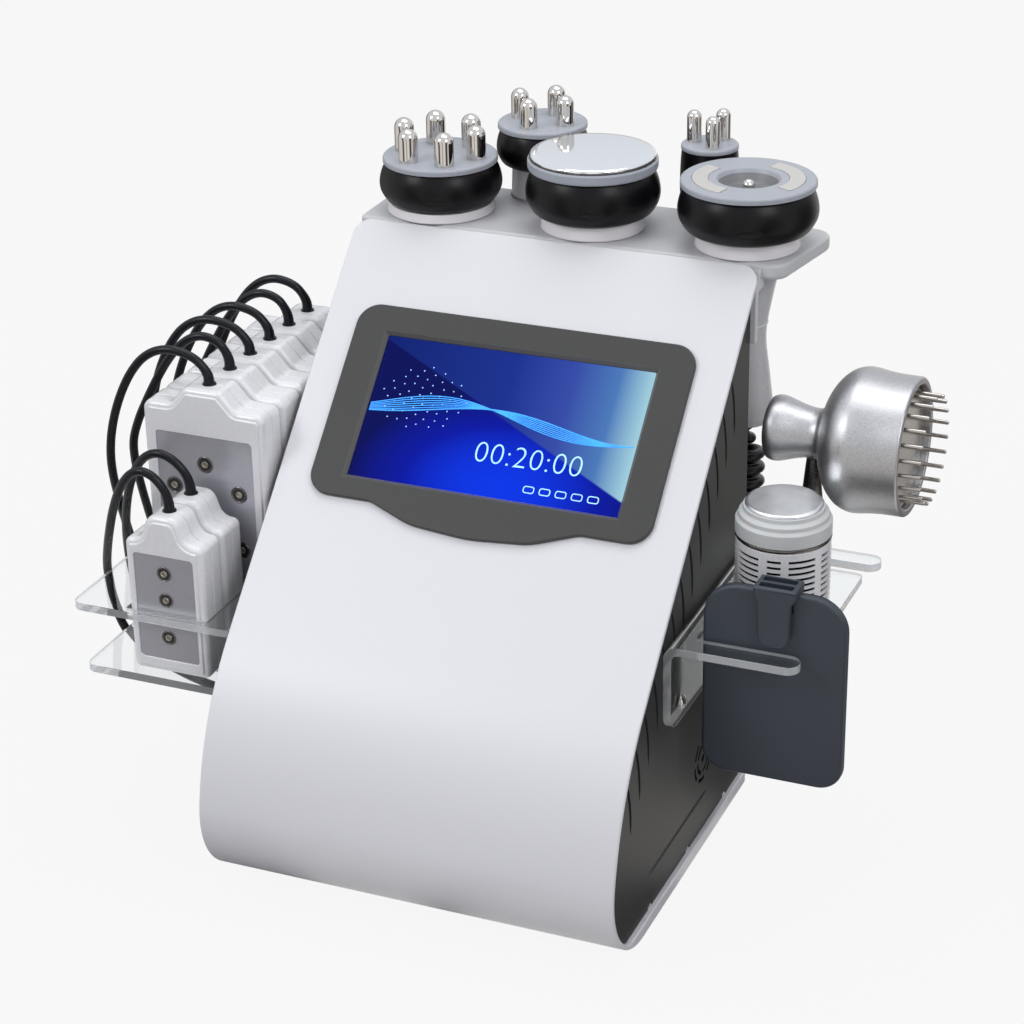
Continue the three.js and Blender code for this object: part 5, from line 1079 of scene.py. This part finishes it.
def make_holder():
    x0, x1 = MOUNT_X, MOUNT_X + SHEET
    front, rear = -30, 125
    tip = 7.2
    shelf = outline([(x1 + 3, front, 0), (205, front, tip), (205, -15, tip), (141, -15, 4), (141, -3, 4),
                     (207, -3, 4), (207, 98, 4), (150, 98, 4), (150, 110, 4), (212, 110, tip),
                     (212, rear, tip), (x1 + 3, rear, 0)])
    holder = shape("holder", slab(shelf, SHELF_TOP - SHEET, SHELF_TOP, 0.4, holes=[ring(*TOOL_PLACE, 24.5)]))
    side = outline([(front, 117, 12), (110, 117, 12), (rear, 165.5, 0.4), (front, 165.5, 0.4)])
    combine(holder, slab(side, x0, x1, 0.4, along="X"), "UNION")
    bend = sector(x1 + 3.2, 164.8, 3.2, 8.2, 90, 180, 12)
    combine(holder, slab(bend, front, rear, place=UPRIGHT), "UNION")
    dress(holder, ACRYLIC, nodes=["tool_holder"])
    paint_edge_light(holder, lambda place: place.x < x1 + 0.2 and place.z < 165)
    for share in (0.12, 0.72):
        screw(x1, front + (rear - front) * share, 129, TO_SIDE[1])


# Cooling head with its slotted case
def make_cooling_head():
    place = spot(*TOOL_PLACE)
    body = "cooling_head"
    seat, case_top, band_top = 173.3, 218.2, 220.5
    profile = rounded_profile([
        (0, 88.3, 0), (20.2, 88.3, 1.5), (22.3, 91.7, 3), (23.5, 105, 8), (23.5, seat, 0), (27.5, seat, 0.8),
        (27.5, case_top, 0.5), (0, case_top, 0)])
    case = shape("cooling_case", lathe(profile, 160, place))
    slots = []
    for row in range(9):
        z = case_top - 4.6 - row * 3.7
        for k in range(5):
            for middle, half in ((-48.6 + 72 * k, 17.5), (-83.9 + 72 * k, 8.5)):
                plan = sector(0, 0, 25.6, 30, middle - half, middle + half)
                slots.append(slab(plan, z - 1.9, z, place=place))
    combine(case, merged(*slots))
    dress(case, GLOSS, body, ["cooling_body"])
    # Near-black cylinder at the depth of the slots: painted shade at the bottoms of the slots.
    core = lathe([(0, 175), (26.4, 175), (26.4, case_top - 2), (0, case_top - 2)], 96, place)
    piece("cooling_shade_core", core, SHADE_BLACK, body)
    collar = [(0, band_top + 0.2, 0), (27.8, band_top + 0.2, 0.5), (27.8, band_top + 8.6, 1.2),
              (26.0, band_top + 10.2, 0.8), (26.0, band_top + 12.6, 1.0), (23.6, band_top + 14.4, 0.8),
              (23.4, 237.3, 0.3), (0, 237.3, 0)]
    turned("cooling_frost", collar, place, FROST_WHITE, body, ["cooling_collar"])
    disc = [(0, 237.4, 0), (22.2, 237.4, 0.2), (22.4, 238.6, 0.5), (21.8, 239.4, 0.5), (20.6, 239.6, 1),
            (0, 239.7, 0)]
    turned("cooling_plate", disc, place, SOFT_MIRROR, body, ["cooling_disc"], 20)
    band = rounded_profile([(20, 218.5, 0), (27.6, 218.5, 0.3), (27.9, 219.5, 0.3), (27.6, band_top, 0.3),
                            (20, band_top, 0)])
    piece("cooling_band", lathe(band + [(20, 218.5)], 128, place), DARK, body)


# Pin massager, lying along X
def make_massager():
    axis = spot(144.5, 104, 256, TO_SIDE[1])
    radius, length = 43, 88
    knob = [(0.36, 0.004), (0.42, 0.018), (0.448, 0.045), (0.455, 0.075), (0.445, 0.11), (0.415, 0.16),
            (0.378, 0.22), (0.352, 0.28), (0.342, 0.33)]
    bell = [(0.36, 0.37), (0.44, 0.395), (0.57, 0.415), (0.72, 0.45), (0.855, 0.5), (0.95, 0.56),
            (0.995, 0.63), (0.993, 0.69), (0.972, 0.76), (0.957, 0.84), (0.953, 0.92)]
    curve = through([(r * radius, h * length) for r, h in knob + bell], 6)
    mouth = rounded_profile([(0.953 * radius, 0.92 * length, 0), (41, length, 1.6), (36.5, length, 0.8),
                             (36.5, length - 8, 1), (0, length - 8, 0)])
    profile = [(0, 0), (0.2 * radius, 0.1)] + curve + mouth
    piece("massager_bell", lathe(profile, 160, axis), SATIN, "massager", ["massager_body"])
    disc = lathe(rounded_profile([(0, 81.7, 0), (35.6, 81.7, 0.3), (35.6, 84, 0.5), (0, 84, 0)]), 96)
    pin = lathe([(0, -1), (1.25, -1), (1.25, 14.9), (1.0, 15.5), (0, 15.7)], 12)
    comb = merged(disc, around(pin, 22, 31.5, z=84))
    piece("massager_pins", placed(comb, axis), PIN_STEEL, "massager", ["massager_comb"])
    stem = [(0, 143.3), (4.9, 143.3), (5.2, 145.9), (5.2, 173.3), (10, 173.3), (10, 176.0), (8.5, 179.3),
            (8.2, 186), (7.4, 200), (6.2, 216), (4.9, 230), (3.9, 240), (0, 240.2)]
    piece("massager_post", lathe(stem, 64, spot(172, 104)), DARK, "massager", ["massager_stem"])


# Electrode paddle, drawn in (z, x)
def make_paddle():
    flat = outline([(89, 144.5, 15), (209, 144.5, 21), (209, 228.5, 21), (89, 228.5, 15)])
    paddle = shape("paddle_front", slab(flat, -12.2, -7.2, 0.6, 1.8, along="Y", steps=5))
    sleeve = outline([(177, 178, 8), (204, 177.3, 3), (208, 175, 3), (213.5, 175, 1), (213.5, 200, 1),
                      (208, 200, 3), (204, 197.2, 3), (177, 196.5, 8)])
    combine(paddle, slab(sleeve, -18, -0.4, 1.4, along="Y"), "UNION")
    pockets = [slab(rectangle(177.6, y, 197.4, y + 4.9, 1), 197.5, 216) for y in (-15.4, -7.9)]
    combine(paddle, merged(*pockets))
    dress(paddle, SLATE, "paddle", ["electrode_paddle"])
    back = slab(shifted(facing(flat), 0.5), -7.1, -5.7, 0.3, along="Y")
    piece("paddle_back", back, RUBBER, "paddle")


# Rear cover with its fan grille, sockets and cord gland, drawn in (z, x)
COVER_Y = REAR - 0.04
FAN = (225, -45)
SOCKET = [(0, -0.2), (8.4, -0.2), (8.4, 1.2), (8.0, 1.7), (7.3, 1.7), (7.3, 4.5), (6.9, 4.9), (5.7, 4.9),
          (5.4, 4.6), (5.4, 1.6), (0, 1.6)]
CONTACT = [(0, 1.5), (0.55, 1.5), (0.55, 3.8), (0.3, 4.1), (0, 4.1)]
CORD_GLAND = [(0, -0.2), (7.9, -0.2), (7.9, 2.6), (7.2, 3.4), (6.6, 3.4), (5.6, 8.4), (5.1, 8.9), (0, 8.9)]


def make_rear():
    inner_y = COVER_Y - 2.5
    plan = rectangle(FLOOR + GAP, -124.2, slope_z(inner_y, WALL + GAP), 124.2, 1.5)
    holes = [sector(*FAN, inner, inner + 4, start, start + 94, 28) for inner in (8, 16, 24)
             for start in (60, 180, 300)]
    holes.append(rectangle(23.5, -114.5, 80.5, -69.5, 2))
    cover = shape("rear", slab(plan, inner_y, COVER_Y, 0.5, 0.1, holes, "Y", 0.4))
    seams = [rectangle(z, -116, z + 1.2, 116, 0.5) for z in (88, 147)]
    combine(cover, merged(*[slab(seam, COVER_Y - 0.5, COVER_Y + 1, along="Y") for seam in seams]))
    dress(cover, PANEL, nodes=["rear_cover"])
    rim = slab(ring(*FAN, 33), COVER_Y - 0.2, COVER_Y + 0.9, 0.5, 0, [ring(*FAN, 30.6)], "Y", 0.5)
    piece("fan_rim", rim, PLASTIC)
    places = [spot(30 + i * 26, COVER_Y, 118, TO_REAR) for i in range(-2, 3)]
    piece("socket_shells", merged(*[lathe(SOCKET, 64, place) for place in places]), DARK)
    contacts = around(lathe(CONTACT, 12), 5, 3.1, 36)
    piece("socket_contacts", merged(*[placed(contacts, place) for place in places]), STEEL)
    piece("cord_gland", lathe(CORD_GLAND, 48, spot(VACUUM[0], COVER_Y, CURL_GLAND, TO_REAR)), PLASTIC)
    for x in (-117, 117):
        for z in (18, 160, 300):
            screw(x, COVER_Y - 0.1, z, TO_REAR, 2.6)


# The inner pieces keep their own solids
KEPT = {"power_inlet": PLASTIC, "power_switch": RED, "fan_frame": PLASTIC, "fan_rotor": PLASTIC,
        "control_board": BOARD, "power_supply": SATIN, "vacuum_pump": PLASTIC}


def keep_solids():
    for node, look in KEPT.items():
        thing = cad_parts[node]
        thing.data.materials.clear()
        thing.data.materials.append(look)


# Floor, world and lamps. CARDS gives the brightness of the surroundings by their direction round the object.
CARDS = ((0.0, 0.75), (0.10, 0.9), (0.135, 0.10), (0.165, 0.08), (0.19, 0.85), (0.235, 0.95), (0.262, 0.30),
         (0.29, 0.9), (0.345, 0.95), (0.375, 0.09), (0.42, 0.07), (0.445, 0.8), (0.52, 0.9), (0.56, 0.14),
         (0.64, 0.14), (0.68, 0.85), (0.78, 0.9), (0.83, 0.2), (0.9, 0.2), (1.0, 0.75))


def light_path(tree, *names):
    path = tree.nodes.new("ShaderNodeLightPath")
    value = path.outputs[names[0]]
    for name in names[1:]:
        value = calc(tree, "MAXIMUM", value, path.outputs[name])
    return value


def studio_cards(tree, direction):
    """Pale surroundings with upright dark cards, which polished metal mirrors as stripes, and the height."""
    split = tree.nodes.new("ShaderNodeSeparateXYZ")
    feed(tree, split, {"Vector": direction})
    turn = calc(tree, "ARCTAN2", split.outputs["Y"], split.outputs["X"])
    stops = [(position, (level, level * 0.97, level * 0.93)) for position, level in CARDS]
    for end in (0, -1):
        stops[end] = (CARDS[end][0], (CARDS[end][1],) * 3)
    cards = ramp(tree, calc(tree, "MULTIPLY_ADD", turn, 1 / (2 * math.pi), 0.5), *stops)
    return cards, split.outputs["Z"]


def make_floor():
    mat, tree, shader = material("floor_white")
    tree.nodes.remove(shader)
    diffuse = add(tree, "BsdfDiffuse", {"Color": (0.42, 0.42, 0.425, 1)})
    glow = add(tree, "Emission", {"Color": (0.985, 0.985, 0.987, 1)})
    cards = studio_cards(tree, add(tree, "TexCoord", {}, "Object"))[0]
    mirrored = add(tree, "Emission", {"Color": cards})
    lit = mixed_shader(tree, light_path(tree, "Is Glossy Ray"), diffuse, mirrored)
    seen = mixed_shader(tree, 0.92, diffuse, glow)
    final = mixed_shader(tree, light_path(tree, "Is Camera Ray", "Is Transmission Ray"), lit, seen)
    feed(tree, tree.nodes["Material Output"], {"Surface": final})
    mesh = bpy.data.meshes.new("floor")
    mesh.from_pydata([(p.x, p.y, 0) for p in ring(0, 0, 9, 64)], [], [tuple(range(64))])
    mesh.materials.append(mat)
    link(bpy.data.objects.new("floor", mesh))


def make_world():
    world = bpy.data.worlds.new("studio")
    world.use_nodes = True
    bpy.context.scene.world = world
    tree = world.node_tree
    plain = feed(tree, tree.nodes["Background"], {"Color": (0.945, 0.945, 0.947, 1)}).outputs[0]
    soft = add(tree, "Background", {"Color": (0.96, 0.97, 1.0, 1), "Strength": 0.5})
    cards, height = studio_cards(tree, add(tree, "TexCoord", {}, "Generated"))
    sky = mixed_color(tree, remap(tree, height, 0.12, 0.32), cards, (0.8, 0.83, 0.88, 1))
    lit = mixed_shader(tree, light_path(tree, "Is Glossy Ray"), soft, add(tree, "Background", {"Color": sky}))
    final = mixed_shader(tree, light_path(tree, "Is Camera Ray", "Is Transmission Ray"), lit, plain)
    feed(tree, tree.nodes["World Output"], {"Surface": final})


def lamp(name, place, size, power):
    data = bpy.data.lights.new(name, "AREA")
    data.shape = "RECTANGLE"
    data.size, data.size_y = size
    data.energy = power
    aim = Vector((0, 0, 0.2)) - Vector(place)
    turn = aim.to_track_quat("-Z", "Y").to_matrix().to_4x4()
    link(bpy.data.objects.new(name, data)).matrix_world = Matrix.Translation(place) @ turn


make_camera()
make_cables()
make_curly_cord()
make_shell()
make_side("left_side_face", -1)
make_cable_glands()
make_side("right_side_face", 1)
make_bezel()
make_picture()
make_tray()
pin_head("six_pin")
pin_head("four_pin")
pin_head("three_pin", BARREL, False)
cavitation_head()
vacuum_head()
make_rack()
for pad in PADS:
    make_pad(*pad)
make_holder()
make_cooling_head()
make_massager()
make_paddle()
make_rear()
keep_solids()
make_floor()
make_world()
lamp("key_left", (-1.3, -1.5, 1.7), (0.8, 0.8), 14)
lamp("key_right", (1.6, -1.0, 1.6), (0.8, 0.8), 10)
lamp("top", (0.0, 0.3, 2.2), (1.6, 1.2), 16)
bpy.context.scene.view_settings.view_transform = "Standard"
